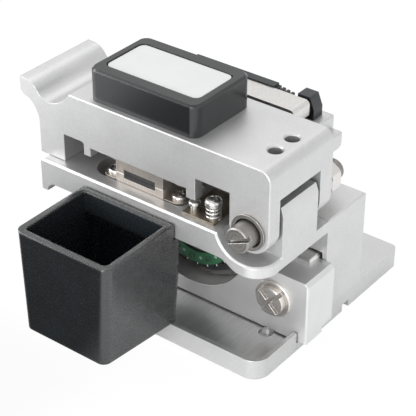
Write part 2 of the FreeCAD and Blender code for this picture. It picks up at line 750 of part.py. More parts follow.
# ================================================================ cap and its panel
def cap_centre():
    x = lever_end - CAP_SETBACK - CAP_LENGTH / 2
    y = lever_y + CAP_INSET + CAP_WIDTH / 2
    return x, y


def cap_screw_points():
    x, y = cap_centre()
    reach = CAP_LENGTH * CAP_SCREW_SHARE
    return [(x - reach, y), (x + reach, y)]


CAP_SCREW_BITE = 3.0


def lever_cap():
    x, y = cap_centre()
    half_x = CAP_LENGTH / 2
    half_y = CAP_WIDTH / 2
    top = lever_top + CAP_HEIGHT
    cap = rounded_block(x - half_x, x + half_x, y - half_y, y + half_y, lever_top, top, CAP_CORNER)
    cap = soften_top(cap, top, CAP_EDGE)
    recess = panel_outline(top - PANEL_DEPTH, top, 0)
    cap = cap.cut(recess)
    for hole_x, hole_y in cap_screw_points():
        cap = cap.cut(m2_hole(V(hole_x, hole_y, lever_top), Z_AXIS, CAP_SCREW_BITE))
    return cap


def panel_outline(z0, z1, gap):
    x, y = cap_centre()
    half_x = CAP_LENGTH / 2 - PANEL_MARGIN_X - gap
    half_y = CAP_WIDTH / 2 - PANEL_MARGIN_Y - gap
    return rounded_block(x - half_x, x + half_x, y - half_y, y + half_y, z0, z1, PANEL_CORNER)


def cap_panel():
    floor = lever_top + CAP_HEIGHT - PANEL_DEPTH
    return panel_outline(floor, floor + PANEL_THICKNESS, 0.25)


def cap_screws():
    under = lever_top - LEVER_ROOF
    screws = [pan_screw(V(x, y, under), Z_AXIS * -1, M2_HEAD_R, M2_HEAD_HEIGHT, M2_SHANK_R,
                        LEVER_ROOF + CAP_SCREW_BITE) for x, y in cap_screw_points()]
    return Part.makeCompound(screws)


# ================================================================ lower clamps
LOWER_SCREW_DEPTH = 4.5


def clamp_span():
    return fibre_x - CLAMP_LENGTH / 2, fibre_x + CLAMP_LENGTH / 2


def front_clamp_y():
    return deck_y + CLAMP_SETBACK


def rear_clamp_y():
    return wheel_back + 0.5


def wing_screw_x():
    left, right = clamp_span()
    return left - CLAMP_WING / 2, right + CLAMP_WING / 2


def lower_screw_points():
    left, right = wing_screw_x()
    front = front_clamp_y() + WING_DEPTH / 2
    return [(left, front), (right, front)]


def pad_room(y0, y1, z0, z1, gap):
    return block(fibre_x - PAD_LENGTH / 2 + gap, fibre_x + PAD_LENGTH / 2 - gap, y0, y1, z0, z1)


def lower_front_clamp():
    left, right = clamp_span()
    y0 = front_clamp_y()
    y1 = y0 + FRONT_CLAMP_DEPTH
    seat = deck_top - CLAMP_SEAT
    body = block(left, right, y0, y1, seat, fibre_z)
    body = soften_top(body, fibre_z, 0.15)
    wing_top = deck_top + WING_PROUD
    wings = rounded_block(left - CLAMP_WING, right + CLAMP_WING, y0 + 0.2, y0 + WING_DEPTH, seat, wing_top, 2.6)
    body = body.fuse(wings).removeSplitter()
    body = body.cut(pad_room(y0 - 1, y1 + 1, fibre_z - PAD_HEIGHT, fibre_z + 1, 0))
    for x, y in lower_screw_points():
        body = body.cut(m2_hole(V(x, y, wing_top), Z_AXIS * -1, 10))
    return body


def lower_rear_clamp():
    left, right = clamp_span()
    y0 = rear_clamp_y()
    y1 = y0 + REAR_CLAMP_DEPTH
    body = soften_top(block(left, right, y0, y1, deck_top, fibre_z), fibre_z, 0.15)
    return body.cut(pad_room(y0 - 1, y1 + 1, fibre_z - PAD_HEIGHT, fibre_z + 1, 0))


def lower_pads():
    pads = []
    for y0, depth in ((front_clamp_y(), FRONT_CLAMP_DEPTH), (rear_clamp_y(), REAR_CLAMP_DEPTH)):
        pads.append(pad_room(y0 + 0.1, y0 + depth - 0.1, fibre_z - PAD_HEIGHT, fibre_z, 0))
    return Part.makeCompound(pads)


def lower_clamp_screws():
    seat = deck_top + WING_PROUD
    screws = [pan_screw(V(x, y, seat), Z_AXIS, M2_HEAD_R, M2_HEAD_HEIGHT, M2_SHANK_R,
                        WING_PROUD + LOWER_SCREW_DEPTH) for x, y in lower_screw_points()]
    return Part.makeCompound(screws)


# ================================================================ upper clamp, floating in the lever
GUIDE_SCREW_HOLD = 2.0
WING_THICKNESS = 1.6


def upper_jaw_z():
    return fibre_z + CLAMP_GAP


def upper_wing_z():
    return upper_jaw_z() + UPPER_JAW - WING_THICKNESS


def upper_screw_points():
    left, right = wing_screw_x()
    front = lever_y + LEVER_WALL + M2_HEAD_R + 0.3
    back = lever_back - LEVER_WALL - M2_HEAD_R - 0.3
    return [(left, front), (right, front), (left, back), (right, back)]


def upper_clamp():
    left, right = clamp_span()
    z0 = upper_jaw_z()
    z1 = z0 + UPPER_JAW
    front_y = front_clamp_y()
    rear_y = rear_clamp_y()
    front = block(left, right, front_y, front_y + FRONT_CLAMP_DEPTH, z0, z1 - 0.1)
    rear = block(left, right, rear_y, rear_y + REAR_CLAMP_DEPTH, z0, z1 - 0.1)
    inner_front = lever_y + LEVER_WALL + SIDE_GAP / 2
    inner_back = lever_back - LEVER_WALL - SIDE_GAP / 2
    bridge = block(left, right, inner_front, inner_back, z1 - 0.1, z1 - 0.1 + BRIDGE_THICKNESS)
    body = front.fuse(rear).fuse(bridge)
    wing_z = upper_wing_z()
    for x, y in upper_screw_points():
        reach = 2.3
        toward = fibre_x
        x0 = min(x - reach, toward)
        x1 = max(x + reach, toward)
        y0 = max(y - reach, inner_front)
        y1 = min(y + reach, inner_back)
        body = body.fuse(block(x0, x1, y0, y1, wing_z, wing_z + WING_THICKNESS))
    body = body.removeSplitter()
    window = block(fibre_x - ANVIL_LENGTH / 2 - SIDE_GAP, fibre_x + ANVIL_LENGTH / 2 + SIDE_GAP,
                   anvil_y() - SIDE_GAP, anvil_y() + ANVIL_DEPTH + SIDE_GAP, z0, z1 + BRIDGE_THICKNESS)
    body = body.cut(window)
    body = body.cut(pad_room(front_y - 1, rear_y + REAR_CLAMP_DEPTH + 1, z0 - 1, z0 + PAD_HEIGHT, 0))
    for x, y in upper_screw_points():
        body = body.cut(rod(V(x, y, wing_z - 1), Z_AXIS, M2_SHANK_R + 0.1, WING_THICKNESS + 2))
    return body


def upper_pads():
    z0 = upper_jaw_z()
    pads = []
    for y0, depth in ((front_clamp_y(), FRONT_CLAMP_DEPTH), (rear_clamp_y(), REAR_CLAMP_DEPTH)):
        pads.append(pad_room(y0 + 0.1, y0 + depth - 0.1, z0, z0 + PAD_HEIGHT, 0))
    return Part.makeCompound(pads)


def clamp_guide_screws():
    """Shoulder screws that hang the upper clamp under the lever's roof."""
    seat = upper_wing_z() - 0.05
    length = lever_top - LEVER_ROOF + GUIDE_SCREW_HOLD - seat
    screws = [pan_screw(V(x, y, seat), Z_AXIS * -1, M2_HEAD_R, M2_HEAD_HEIGHT, M2_SHANK_R, length)
              for x, y in upper_screw_points()]
    return Part.makeCompound(screws)


def clamp_springs():
    z0 = upper_wing_z() + WING_THICKNESS + SPRING_WIRE
    height = lever_top - LEVER_ROOF - z0 - SPRING_WIRE
    springs = [coil(V(x, y, z0), M2_SHANK_R + 0.55, 0.2, 1.4, height) for x, y in upper_screw_points()]
    return Part.makeCompound(springs)


def anvil_y():
    return blade_y + BLADE_THICKNESS / 2 - ANVIL_DEPTH / 2


def anvil():
    """Ceramic block on the lever that bends the fibre over the blade's score."""
    y0 = anvil_y()
    z0 = fibre_z + ANVIL_CLEARANCE
    body = block(fibre_x - ANVIL_LENGTH / 2, fibre_x + ANVIL_LENGTH / 2, y0, y0 + ANVIL_DEPTH,
                 z0, lever_top - LEVER_ROOF)
    relief = block(fibre_x - ANVIL_LENGTH, fibre_x + ANVIL_LENGTH, blade_y - 0.2,
                   blade_y + BLADE_THICKNESS + 0.2, z0 - 1, z0 + 1.2)
    return body.cut(relief)


# ================================================================ guard plate and its screws
GUARD_SCREW_DEPTH = 4.0


def guard_x():
    return end_x - GUARD_INSET - GUARD_LENGTH


def guard_screw_points():
    x = guard_x()
    y = deck_y + GUARD_SETBACK + SPRING_SCREW_Y
    return [(x + SMALL_SCREW_X, y), (x + SPRING_SCREW_X, y)]


def guard_plate():
    x = guard_x()
    y = deck_y + GUARD_SETBACK
    plate = block(x, x + GUARD_LENGTH, y, y + GUARD_DEPTH, deck_top, deck_top + GUARD_THICKNESS)
    for hole_x, hole_y in guard_screw_points():
        plate = plate.cut(m2_hole(V(hole_x, hole_y, deck_top), Z_AXIS, GUARD_THICKNESS))
    return plate


def guard_screw():
    x, y = guard_screw_points()[0]
    seat = V(x, y, deck_top + GUARD_THICKNESS + SMALL_SCREW_NECK)
    return pan_screw(seat, Z_AXIS, SMALL_HEAD_R, SMALL_HEAD_HEIGHT, M2_SHANK_R,
                     SMALL_SCREW_NECK + GUARD_THICKNESS + GUARD_SCREW_DEPTH - EMBED)


def spring_screw():
    x, y = guard_screw_points()[1]
    head = M2_HEAD_HEIGHT + 0.5
    seat = V(x, y, deck_top + SPRING_SCREW_HEIGHT - head)
    length = seat.z - deck_top + GUARD_SCREW_DEPTH - EMBED
    return pan_screw(seat, Z_AXIS, M2_HEAD_R, head, M2_SHANK_R, length)


def guard_spring():
    x, y = guard_screw_points()[1]
    z0 = deck_top + GUARD_THICKNESS + SPRING_WIRE
    z1 = deck_top + SPRING_SCREW_HEIGHT - M2_HEAD_HEIGHT - 0.5 - SPRING_WIRE
    return coil(V(x, y, z0), SPRING_R, SPRING_WIRE, SPRING_PITCH, z1 - z0)


# ================================================================ blade carriage
SPINDLE_LENGTH = 9.0


def adjuster_centre(y):
    return V(carriage_end - ADJUSTER_INSET, y, carriage_z + ADJUSTER_HEIGHT)


def slider_box():
    x1 = carriage_end - SLIDER_END_INSET
    z0 = carriage_z + SLIDER_BASE
    y0 = carriage_back - SLIDER_SINK
    return x1 - SLIDER_LENGTH, x1, y0, y0 + SLIDER_DEPTH, z0, z0 + SLIDER_HEIGHT


def carriage():
    profile = SideProfile(carriage_start, carriage_z)
    profile.line(carriage_end, carriage_z)
    profile.line(carriage_end, carriage_z + SHELF_HEIGHT - CARRIAGE_CHAMFER)
    profile.line(carriage_end - CARRIAGE_CHAMFER, carriage_z + SHELF_HEIGHT)
    profile.line(carriage_end - TOWER_INSET, carriage_z + SHELF_HEIGHT)
    profile.line(carriage_end - TOWER_INSET, tower_top)
    profile.line(carriage_start, tower_top)
    body = profile.extrude(carriage_y, carriage_back)
    def front_upright(edge):
        centre = edge.CenterOfMass
        return runs_along(edge, Z_AXIS) and centre.x > carriage_end - 0.01 and centre.y < carriage_y + 0.01
    body = body.makeFillet(0.5, edges_of(body, front_upright))
    pocket = rod(V(wheel_x, carriage_y - 1, wheel_z), Y_AXIS, POCKET_R, POCKET_DEPTH + 1)
    heel = block(carriage_start - 1, carriage_end + 1, carriage_y + HEEL_DEPTH, carriage_back + 1,
                 carriage_z - 1, carriage_z + HEEL_RISE)
    x0, x1, y0, y1, z0, z1 = slider_box()
    rebate = block(x0, x1, y0, y1, z0, tower_top + 1)
    body = body.cut(pocket).cut(heel).cut(rebate)
    body = body.cut(rod(V(wheel_x, wheel_back - 1, wheel_z), Y_AXIS, SPINDLE_R, CARRIAGE_DEPTH))
    body = body.cut(rod(adjuster_centre(carriage_y - 1), Y_AXIS, ADJUSTER_BUSH_R, ADJUSTER_DEPTH + 1))
    for point in slider_screw_points():
        body = body.cut(m2_hole(point, Z_AXIS, SLIDER_BASE))
        body = body.cut(rod(point, Z_AXIS, M2_HEAD_R + 0.1, HEEL_RISE + SLIDER_SCREW_SINK))
    return body


SLIDER_SCREW_SINK = 1.6
SLIDER_SCREW_BITE = 1.5


def slider_screw_points():
    x0, x1, y0, _, _, _ = slider_box()
    y = y0 + 2.0
    return [V(x0 + SLIDER_SCREW_INSET, y, carriage_z), V(x1 - SLIDER_SCREW_INSET, y, carriage_z)]


def slider_screws():
    screws = []
    for point in slider_screw_points():
        seat = V(point.x, point.y, carriage_z + HEEL_RISE + SLIDER_SCREW_SINK)
        length = carriage_z + SLIDER_BASE - seat.z + SLIDER_SCREW_BITE
        screws.append(pan_screw(seat, Z_AXIS * -1, M2_HEAD_R, M2_HEAD_HEIGHT, M2_SHANK_R, length))
    return Part.makeCompound(screws)


def rail_z():
    _, _, _, _, z0, z1 = slider_box()
    return (z0 + z1) / 2


def rail_section(gap):
    """Rail cross-section in the YZ plane, grown by gap, with a V groove along each side."""
    back = block_y + CHANNEL_DEPTH
    front = back - RAIL_DEPTH - gap
    half = RAIL_HEIGHT / 2 + gap
    middle = back - RAIL_DEPTH / 2
    z = rail_z()
    groove = RAIL_GROOVE
    points = [V(0, front, z - half), V(0, middle - 1, z - half), V(0, middle, z - half + groove),
              V(0, middle + 1, z - half), V(0, back + 1, z - half), V(0, back + 1, z + half),
              V(0, middle + 1, z + half), V(0, middle, z + half - groove), V(0, middle - 1, z + half),
              V(0, front, z + half)]
    return Part.Face(Part.makePolygon(points + points[:1]))


def rail_span():
    return -end_x + RAIL_INSET, end_x - CHANNEL_END - RAIL_END_GAP


def guide_rail():
    x0, x1 = rail_span()
    section = rail_section(0)
    section.translate(V(x0, 0, 0))
    rail = section.extrude(V(x1 - x0, 0, 0))
    back = block_y + CHANNEL_DEPTH
    rail = rail.cut(block(x0 - 1, x1 + 1, back, back + 2, rail_z() - 9, rail_z() + 9))
    for point in rail_screw_points():
        rail = rail.cut(m2_hole(point, Y_AXIS * -1, RAIL_DEPTH))
        sink = rod(V(point.x, point.y - RAIL_DEPTH, point.z), Y_AXIS, M2_HEAD_R + 0.1, M2_HEAD_HEIGHT + 0.4)
        rail = rail.cut(sink)
    return rail


RAIL_SCREW_LENGTH = 4.5


def rail_screw_points():
    y = block_y + CHANNEL_DEPTH
    x0, x1 = rail_span()
    first = x0 + RAIL_SCREW_INSET
    pitch = (x1 - x0 - 2 * RAIL_SCREW_INSET) / (RAIL_SCREW_COUNT - 1)
    return [V(first + index * pitch, y, rail_z()) for index in range(RAIL_SCREW_COUNT)]


def rail_screws():
    screws = []
    for point in rail_screw_points():
        seat = V(point.x, point.y - RAIL_DEPTH + M2_HEAD_HEIGHT + 0.4, point.z)
        screws.append(pan_screw(seat, Y_AXIS * -1, M2_HEAD_R, M2_HEAD_HEIGHT, M2_SHANK_R,
                                point.y + RAIL_SCREW_LENGTH - EMBED - seat.y))
    return Part.makeCompound(screws)


def rail_slider():
    x0, x1, y0, y1, z0, z1 = slider_box()
    body = block(x0, x1, y0, y1, z0, z1)
    body = soften_top(body, z1, SLIDER_CHAMFER)
    room = rail_section(SLIDING)
    room.translate(V(x0 - 1, 0, 0))
    body = body.cut(room.extrude(V(SLIDER_LENGTH + 2, 0, 0)))
    for point in slider_screw_points():
        body = body.cut(m2_hole(V(point.x, point.y, z0), Z_AXIS, SLIDER_SCREW_BITE))
    return body


# ================================================================ blade wheel
def wheel_disc(y, radius, thickness):
    return rod(V(wheel_x, y, wheel_z), Y_AXIS, radius, thickness)


def wheel_bore(y, length):
    return rod(V(wheel_x, y, wheel_z), Y_AXIS, SPINDLE_R + RUNNING, length)


def blade():
    disc = wheel_disc(blade_y, BLADE_R, BLADE_THICKNESS)
    disc = disc.makeChamfer(BLADE_THICKNESS * 0.45, edges_of(disc, lambda e: e.Curve.TypeId == "Part::GeomCircle"))
    return disc.cut(rod(V(wheel_x, blade_y - 1, wheel_z), Y_AXIS, HUB_R, BLADE_THICKNESS + 2))


HUB_R = 4.5


def blade_hub():
    dial = wheel_disc(dial_y, DIAL_R, DIAL_THICKNESS)
    flange = wheel_disc(flange_y, FLANGE_R, FLANGE_THICKNESS)
    core = wheel_disc(flange_y, HUB_R, FLANGE_THICKNESS + BLADE_THICKNESS + REAR_FLANGE_THICKNESS)
    hub = dial.fuse(flange).fuse(core).removeSplitter()
    for index in range(WHEEL_POSITIONS):
        angle = 2 * math.pi * index / WHEEL_POSITIONS
        x = wheel_x + DIAL_R * math.cos(angle)
        z = wheel_z + DIAL_R * math.sin(angle)
        hub = hub.cut(rod(V(x, dial_y - 1, z), Y_AXIS, DETENT_R, 2.2))
    return hub.cut(wheel_bore(dial_y - 1, 20))


def clamp_washer():
    washer = wheel_disc(rear_flange_y, REAR_FLANGE_R, REAR_FLANGE_THICKNESS)
    return washer.cut(rod(V(wheel_x, rear_flange_y - 1, wheel_z), Y_AXIS, HUB_R, REAR_FLANGE_THICKNESS + 2))


def number_ring():
    ring = wheel_disc(number_ring_y, NUMBER_RING_OUTER, NUMBER_RING_THICKNESS)
    return ring.cut(wheel_disc(number_ring_y, NUMBER_RING_INNER, NUMBER_RING_THICKNESS))


def wheel_spindle():
    """Fixed spindle: a slotted head in front of the hub and a shank in the carriage's wall."""
    head_y = dial_y - SPINDLE_PROUD
    shank = rod(V(wheel_x, head_y, wheel_z), Y_AXIS, SPINDLE_R, carriage_back - head_y)
    head = rod(V(wheel_x, head_y, wheel_z), Y_AXIS, SPINDLE_HEAD_R, SPINDLE_HEAD_HEIGHT)
    slot = block(wheel_x - SPINDLE_HEAD_R - 1, wheel_x + SPINDLE_HEAD_R + 1, head_y - 1,
                 head_y + SPINDLE_HEAD_HEIGHT / 2, wheel_z - SPINDLE_SLOT / 2, wheel_z + SPINDLE_SLOT / 2)
    return shank.fuse(head).cut(slot)


# ================================================================ height adjuster
def adjuster_bush():
    start = adjuster_centre(carriage_y - ADJUSTER_BUSH_PROUD)
    bush = rod(start, Y_AXIS, ADJUSTER_BUSH_R, ADJUSTER_BUSH_PROUD + ADJUSTER_DEPTH)

    def front_rim(edge):
        return edge.Curve.TypeId == "Part::GeomCircle" and edge.CenterOfMass.y < carriage_y - 0.1
    bush = bush.makeChamfer(0.2, edges_of(bush, front_rim))
    return bush.cut(rod(start, Y_AXIS, ADJUSTER_R + RUNNING, ADJUSTER_BUSH_PROUD + ADJUSTER_DEPTH))


def height_adjuster():
    start = adjuster_centre(carriage_y - ADJUSTER_PROUD)
    pin = rod(start, Y_AXIS, ADJUSTER_R, ADJUSTER_PROUD + ADJUSTER_DEPTH - 0.3)
    def rims(edge):
        return edge.Curve.TypeId == "Part::GeomCircle"
    pin = pin.makeChamfer(0.2, edges_of(pin, rims))
    cross = cross_cut(V(0, 0, 0), Z_AXIS, ADJUSTER_SLOT, 2 * ADJUSTER_R + 1, ADJUSTER_SLOT_DEPTH)
    cross.rotate(V(0, 0, 0), Z_AXIS, ADJUSTER_TURN)
    cross.rotate(V(0, 0, 0), X_AXIS, 90)
    cross.translate(start)
    return pin.cut(cross)


# ================================================================ scrap bin
def bin_section(corners, z, radius):
    """Outline of the tub at height z, with its corners rounded."""
    points = [V(x, y, z) for x, y in corners]
    slab = Part.Face(Part.makePolygon(points + points[:1])).extrude(V(0, 0, 1))
    slab = slab.makeFillet(radius, edges_of(slab, lambda edge: runs_along(edge, Z_AXIS)))
    bottom = [face for face in slab.Faces if abs(face.BoundBox.ZMax - z) < 1e-6][0]
    return bottom.OuterWire


def bin_shell(inset):
    """Tapered tub that reaches under the deck; its inside has an inset of the wall."""
    top = deck_top - BIN_DROP
    bottom = top - BIN_HEIGHT
    left = -end_x + BIN_INSET + inset
    right = -end_x + BIN_INSET + BIN_LENGTH - inset
    front = deck_y - BIN_REACH + inset
    back = deck_y - BIN_GAP + BIN_TONGUE - inset
    upper = [(left, front), (right, front), (right, back), (left, back)]
    lower = [(left, front + BIN_TAPER_FRONT), (right - BIN_TAPER_END, front + BIN_TAPER_FRONT),
             (right - BIN_TAPER_BACK, back - BIN_TONGUE_TAPER), (left, back - BIN_TONGUE_TAPER)]
    radius = BIN_CORNER - inset * 0.6
    mouth = bin_section(upper, top, radius)
    floor = bin_section(lower, bottom + inset, radius)
    return Part.makeLoft([floor, mouth], True, True)


def under_deck(margin):
    """What the deck leaves no room for, with a margin around it."""
    left = -end_x + BIN_INSET
    back = deck_y - BIN_GAP
    return block(left - 1, left + BIN_LENGTH + 1, back - margin, back + BIN_TONGUE + 1,
                 deck_under - BIN_GAP - margin, deck_top)


def scrap_bin():
    bottom = deck_top - BIN_DROP - BIN_HEIGHT
    right = -end_x + BIN_INSET + BIN_LENGTH - BIN_TAPER_END
    foot_back = deck_y - BIN_FOOT_SETBACK
    tub = bin_shell(0).cut(under_deck(0))
    foot = block(right - BIN_FOOT_WIDTH, right - BIN_GAP, foot_back - BIN_FOOT_LENGTH, foot_back,
                 bottom - BIN_FOOT_HEIGHT, bottom + BIN_WALL / 2)

    def foot_ends(edge):
        return runs_along(edge, X_AXIS) and edge.CenterOfMass.z < bottom
    foot = foot.makeChamfer(BIN_FOOT_HEIGHT * 0.7, edges_of(foot, foot_ends))
    return tub.fuse(foot).cut(bin_shell(BIN_WALL).cut(under_deck(BIN_WALL)))


# ================================================================ fibre holder and its lid
HOLDER_SCREW_DEPTH = 5.0


def holder_y():
    return block_y + HOLDER_SETBACK


def holder_x():
    return lid_end() - HOLDER_LENGTH


def lid_end():
    return end_x - LID_END_INSET


def holder_screw_points():
    y = holder_y() + HOLDER_DEPTH / 2
    return [(holder_x() + 3.0, y), (holder_x() + HOLDER_LENGTH - 10.0, y)]


def fibre_holder():
    y0 = holder_y()
    y1 = y0 + HOLDER_DEPTH
    body = SideProfile(holder_x(), block_top)
    body.line(lid_end() - 4.6, block_top)
    body.line(lid_end() - 4.6, block_top + 2.0)
    body.line(lid_end() - LID_WEB - 1.2, fibre_z)
    body.line(holder_x() + 0.8, fibre_z)
    body.line(holder_x(), fibre_z - 0.8)
    body = body.extrude(y0, y1)
    body = body.cut(rod(V(fibre_x, y0 - 1, fibre_z), Y_AXIS, HOLDER_GROOVE_R, HOLDER_DEPTH + 2))
    for x, y in holder_screw_points():
        body = body.cut(m2_hole(V(x, y, fibre_z), Z_AXIS * -1, 12))
        body = body.cut(rod(V(x, y, fibre_z), Z_AXIS * -1, M2_HEAD_R + 0.1, M2_HEAD_HEIGHT + 0.3))
    return body


def holder_screws():
    seat = fibre_z - M2_HEAD_HEIGHT - 0.3
    length = seat - block_top + HOLDER_SCREW_DEPTH - EMBED
    screws = [pan_screw(V(x, y, seat), Z_AXIS, M2_HEAD_R, M2_HEAD_HEIGHT, M2_SHANK_R, length)
              for x, y in holder_screw_points()]
    return Part.makeCompound(screws)


def lid_outline():
    """Side view of the lid: a plate over the fibre and a web down to the pivot."""
    top = deck_top + LID_TOP_RISE
    under = top - LID_BODY_THICKNESS
    ledge_top = top - LID_LEDGE_DROP
    ledge_under = ledge_top - LID_LEDGE_HEIGHT
    right = lid_end() + LID_LEDGE
    ledge_foot = ledge_under - LID_LEDGE_R
    outline = SideProfile(holder_x() + 0.5, under)
    outline.line(holder_x() + 0.5, top)
    outline.line(lid_end(), top)
    outline.line(lid_end(), ledge_top)
    outline.line(right, ledge_top)
    outline.line(right, ledge_under)
    mid = corner_mid(right - LID_LEDGE_R, ledge_under, LID_LEDGE_R, -45)
    outline.arc(mid[0], mid[1], right - LID_LEDGE_R, ledge_foot)
    outline.line(lid_end() - LID_WEB, ledge_foot)
    outline.line(lid_end() - LID_WEB, under)
    return outline


def lid_hub():
    """Round hub on the pivot pin, joined to the web by a tapered arm."""
    y0 = lid_hub_y()
    top = deck_top + LID_TOP_RISE - LID_LEDGE_DROP
    left = lid_end() - LID_WEB
    right = lid_end() + LID_LEDGE
    hub = rod(V(pivot_x, y0, pivot_z), Y_AXIS, LID_HUB_R, LID_HUB_THICKNESS)
    arm = SideProfile(left, top)
    arm.line(right, top)
    arm.line(right, pivot_z + 2)
    arm.line(pivot_x - 1.0, pivot_z + 1)
    arm.line(pivot_x - LID_HUB_R * 0.8, pivot_z - LID_HUB_R * 0.6)
    arm.line(left, top - 6.5)
    return hub.fuse(arm.extrude(y0, y0 + LID_HUB_THICKNESS))


def holder_lid():
    """Aluminium lid that swings on the lever's pivot pin."""
    back = holder_y() + HOLDER_DEPTH
    lid = lid_outline().extrude(lid_hub_y(), back)

    def right_end(edge):
        centre = edge.CenterOfMass
        upper = abs(centre.x - lid_end()) < 1e-6 and abs(centre.z - deck_top - LID_TOP_RISE) < 1e-6
        ledge_x = lid_end() + LID_LEDGE
        ledge_z = deck_top + LID_TOP_RISE - LID_LEDGE_DROP
        return upper or (abs(centre.x - ledge_x) < 1e-6 and abs(centre.z - ledge_z) < 1e-6)
    lid = lid.makeChamfer(LID_EDGE, edges_of(lid, right_end))
    nut_room = rod(V(pivot_x, lid_hub_y() + LID_HUB_THICKNESS, pivot_z), Y_AXIS,
                   NUT_FLATS / math.sqrt(3) + SIDE_GAP, NUT_HEIGHT + SIDE_GAP)
    thread_room = rod(V(pivot_x, lid_hub_y() + LID_HUB_THICKNESS, pivot_z), Y_AXIS, PIN_R,
                      HUB_END_PLAY + NUT_HEIGHT + PIN_TAIL + SIDE_GAP)
    lid = lid.cut(nut_room).cut(thread_room).fuse(lid_hub()).removeSplitter()
    return lid.cut(rod(V(pivot_x, lid_hub_y() - 1, pivot_z), Y_AXIS, PIN_R + RUNNING, LID_HUB_THICKNESS + 2))


def lid_pad():
    """Rubber strip under the lid that holds the coated fibre in its groove."""
    y0 = holder_y() + LID_PAD_MARGIN
    y1 = holder_y() + HOLDER_DEPTH - LID_PAD_MARGIN
    under = deck_top + LID_TOP_RISE - LID_BODY_THICKNESS
    half = LID_PAD_LENGTH / 2
    return block(fibre_x - half, fibre_x + half, y0, y1, fibre_z + LID_PAD_GAP, under)


def cover_span():
    right = lid_end() - 2.7
    return right - COVER_SPAN, right


def lid_insert():
    """Black moulding on the lid: a body under the sprung cover, a finger strip and a thumb post."""
    left, right = cover_span()
    y0 = holder_y() + 0.4
    back = holder_y() + HOLDER_DEPTH
    top = deck_top + LID_TOP_RISE
    cover_top = deck_top + SPRING_COVER_RISE
    strip_y = back - COVER_SETBACK - INSERT_STRIP
    body = block(left + 0.6, right - 2.2, y0, strip_y, top, cover_top - COVER_THICKNESS)
    strip = block(left + 0.2, right - THUMB_POST_WIDTH - 6.0, strip_y, strip_y + INSERT_STRIP, top, cover_top + 0.3)
    low = block(right - THUMB_POST_WIDTH - 6.5, right - THUMB_POST_WIDTH, strip_y, strip_y + INSERT_STRIP, top,
                cover_top - 1.6)
    body = body.fuse(strip).fuse(low)
    for index in range(4):
        x = right - THUMB_POST_WIDTH - 6.0 + index * 1.2
        ridge = block(x, x + 0.7, strip_y, strip_y + INSERT_STRIP, cover_top - 2.0, cover_top - 0.2 - index * 0.2)
        body = body.fuse(ridge)
    post = SideProfile(right - THUMB_POST_WIDTH, top)
    post.line(right + 0.6, top)
    post.line(right + 0.6, top + THUMB_POST_HEIGHT * 0.45)
    post.line(right - 0.6, top + THUMB_POST_HEIGHT)
    post.line(right - THUMB_POST_WIDTH, top + THUMB_POST_HEIGHT)
    post_y = back - 1.6 - THUMB_POST_DEPTH
    return body.fuse(post.extrude(post_y, post_y + THUMB_POST_DEPTH)).removeSplitter()


def lid_cover():
    """Sprung steel cover with its end bent down."""
    left, right = cover_span()
    y0 = holder_y() + 0.2
    back = holder_y() + HOLDER_DEPTH - COVER_SETBACK - INSERT_STRIP - RUNNING
    top = deck_top + SPRING_COVER_RISE
    t = COVER_THICKNESS
    r = COVER_BEND_R
    strip = SideProfile(left, top)
    strip.line(right - r, top)
    mid = corner_mid(right - r, top - r, r, 45)
    strip.arc(mid[0], mid[1], right, top - r)
    strip.line(right, top - COVER_BEND)
    strip.line(right - t, top - COVER_BEND)
    strip.line(right - t, top - r)
    mid = corner_mid(right - r, top - r, r - t, 45)
    strip.arc(mid[0], mid[1], right - r, top - t)
    strip.line(left, top - t)
    return strip.extrude(y0, back)


PARTS = {
    "base_plate": base_plate,
    "rubber_foot": rubber_foot,
    "frame_screws": frame_screws,
    "upper_frame": upper_frame,
    "pivot_pin": pivot_pin,
    "pivot_nut": pivot_nut,
    "ear_bushings": ear_bushings,
    "lever_arm": lever_arm,
    "lever_cap": lever_cap,
    "cap_panel": cap_panel,
    "cap_screws": cap_screws,
    "lower_front_clamp": lower_front_clamp,
    "lower_rear_clamp": lower_rear_clamp,
    "lower_pads": lower_pads,
    "lower_clamp_screws": lower_clamp_screws,
    "upper_clamp": upper_clamp,
    "upper_pads": upper_pads,
    "clamp_guide_screws": clamp_guide_screws,
    "clamp_springs": clamp_springs,
    "anvil": anvil,
    "guard_plate": guard_plate,
    "guard_screw": guard_screw,
    "spring_screw": spring_screw,
    "guard_spring": guard_spring,
    "carriage": carriage,
    "slider_screws": slider_screws,
    "guide_rail": guide_rail,
    "rail_screws": rail_screws,
    "rail_slider": rail_slider,
    "blade": blade,
    "blade_hub": blade_hub,
    "clamp_washer": clamp_washer,
    "number_ring": number_ring,
    "wheel_spindle": wheel_spindle,
    "adjuster_bush": adjuster_bush,
    "height_adjuster": height_adjuster,
    "scrap_bin": scrap_bin,
    "fibre_holder": fibre_holder,
    "holder_screws": holder_screws,
    "holder_lid": holder_lid,
    "lid_pad": lid_pad,
    "lid_insert": lid_insert,
    "lid_cover": lid_cover,
}

os.makedirs("parts", exist_ok=True)
for name, make in PARTS.items():
    shape = make()
    shape.exportStep("parts/" + name + ".step")
    print(name, len(shape.Solids), "solids", round(shape.Volume, 1), "mm3", shape.isValid())
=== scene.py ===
import json
import math

import bmesh
import bpy
from mathutils import Matrix, Vector


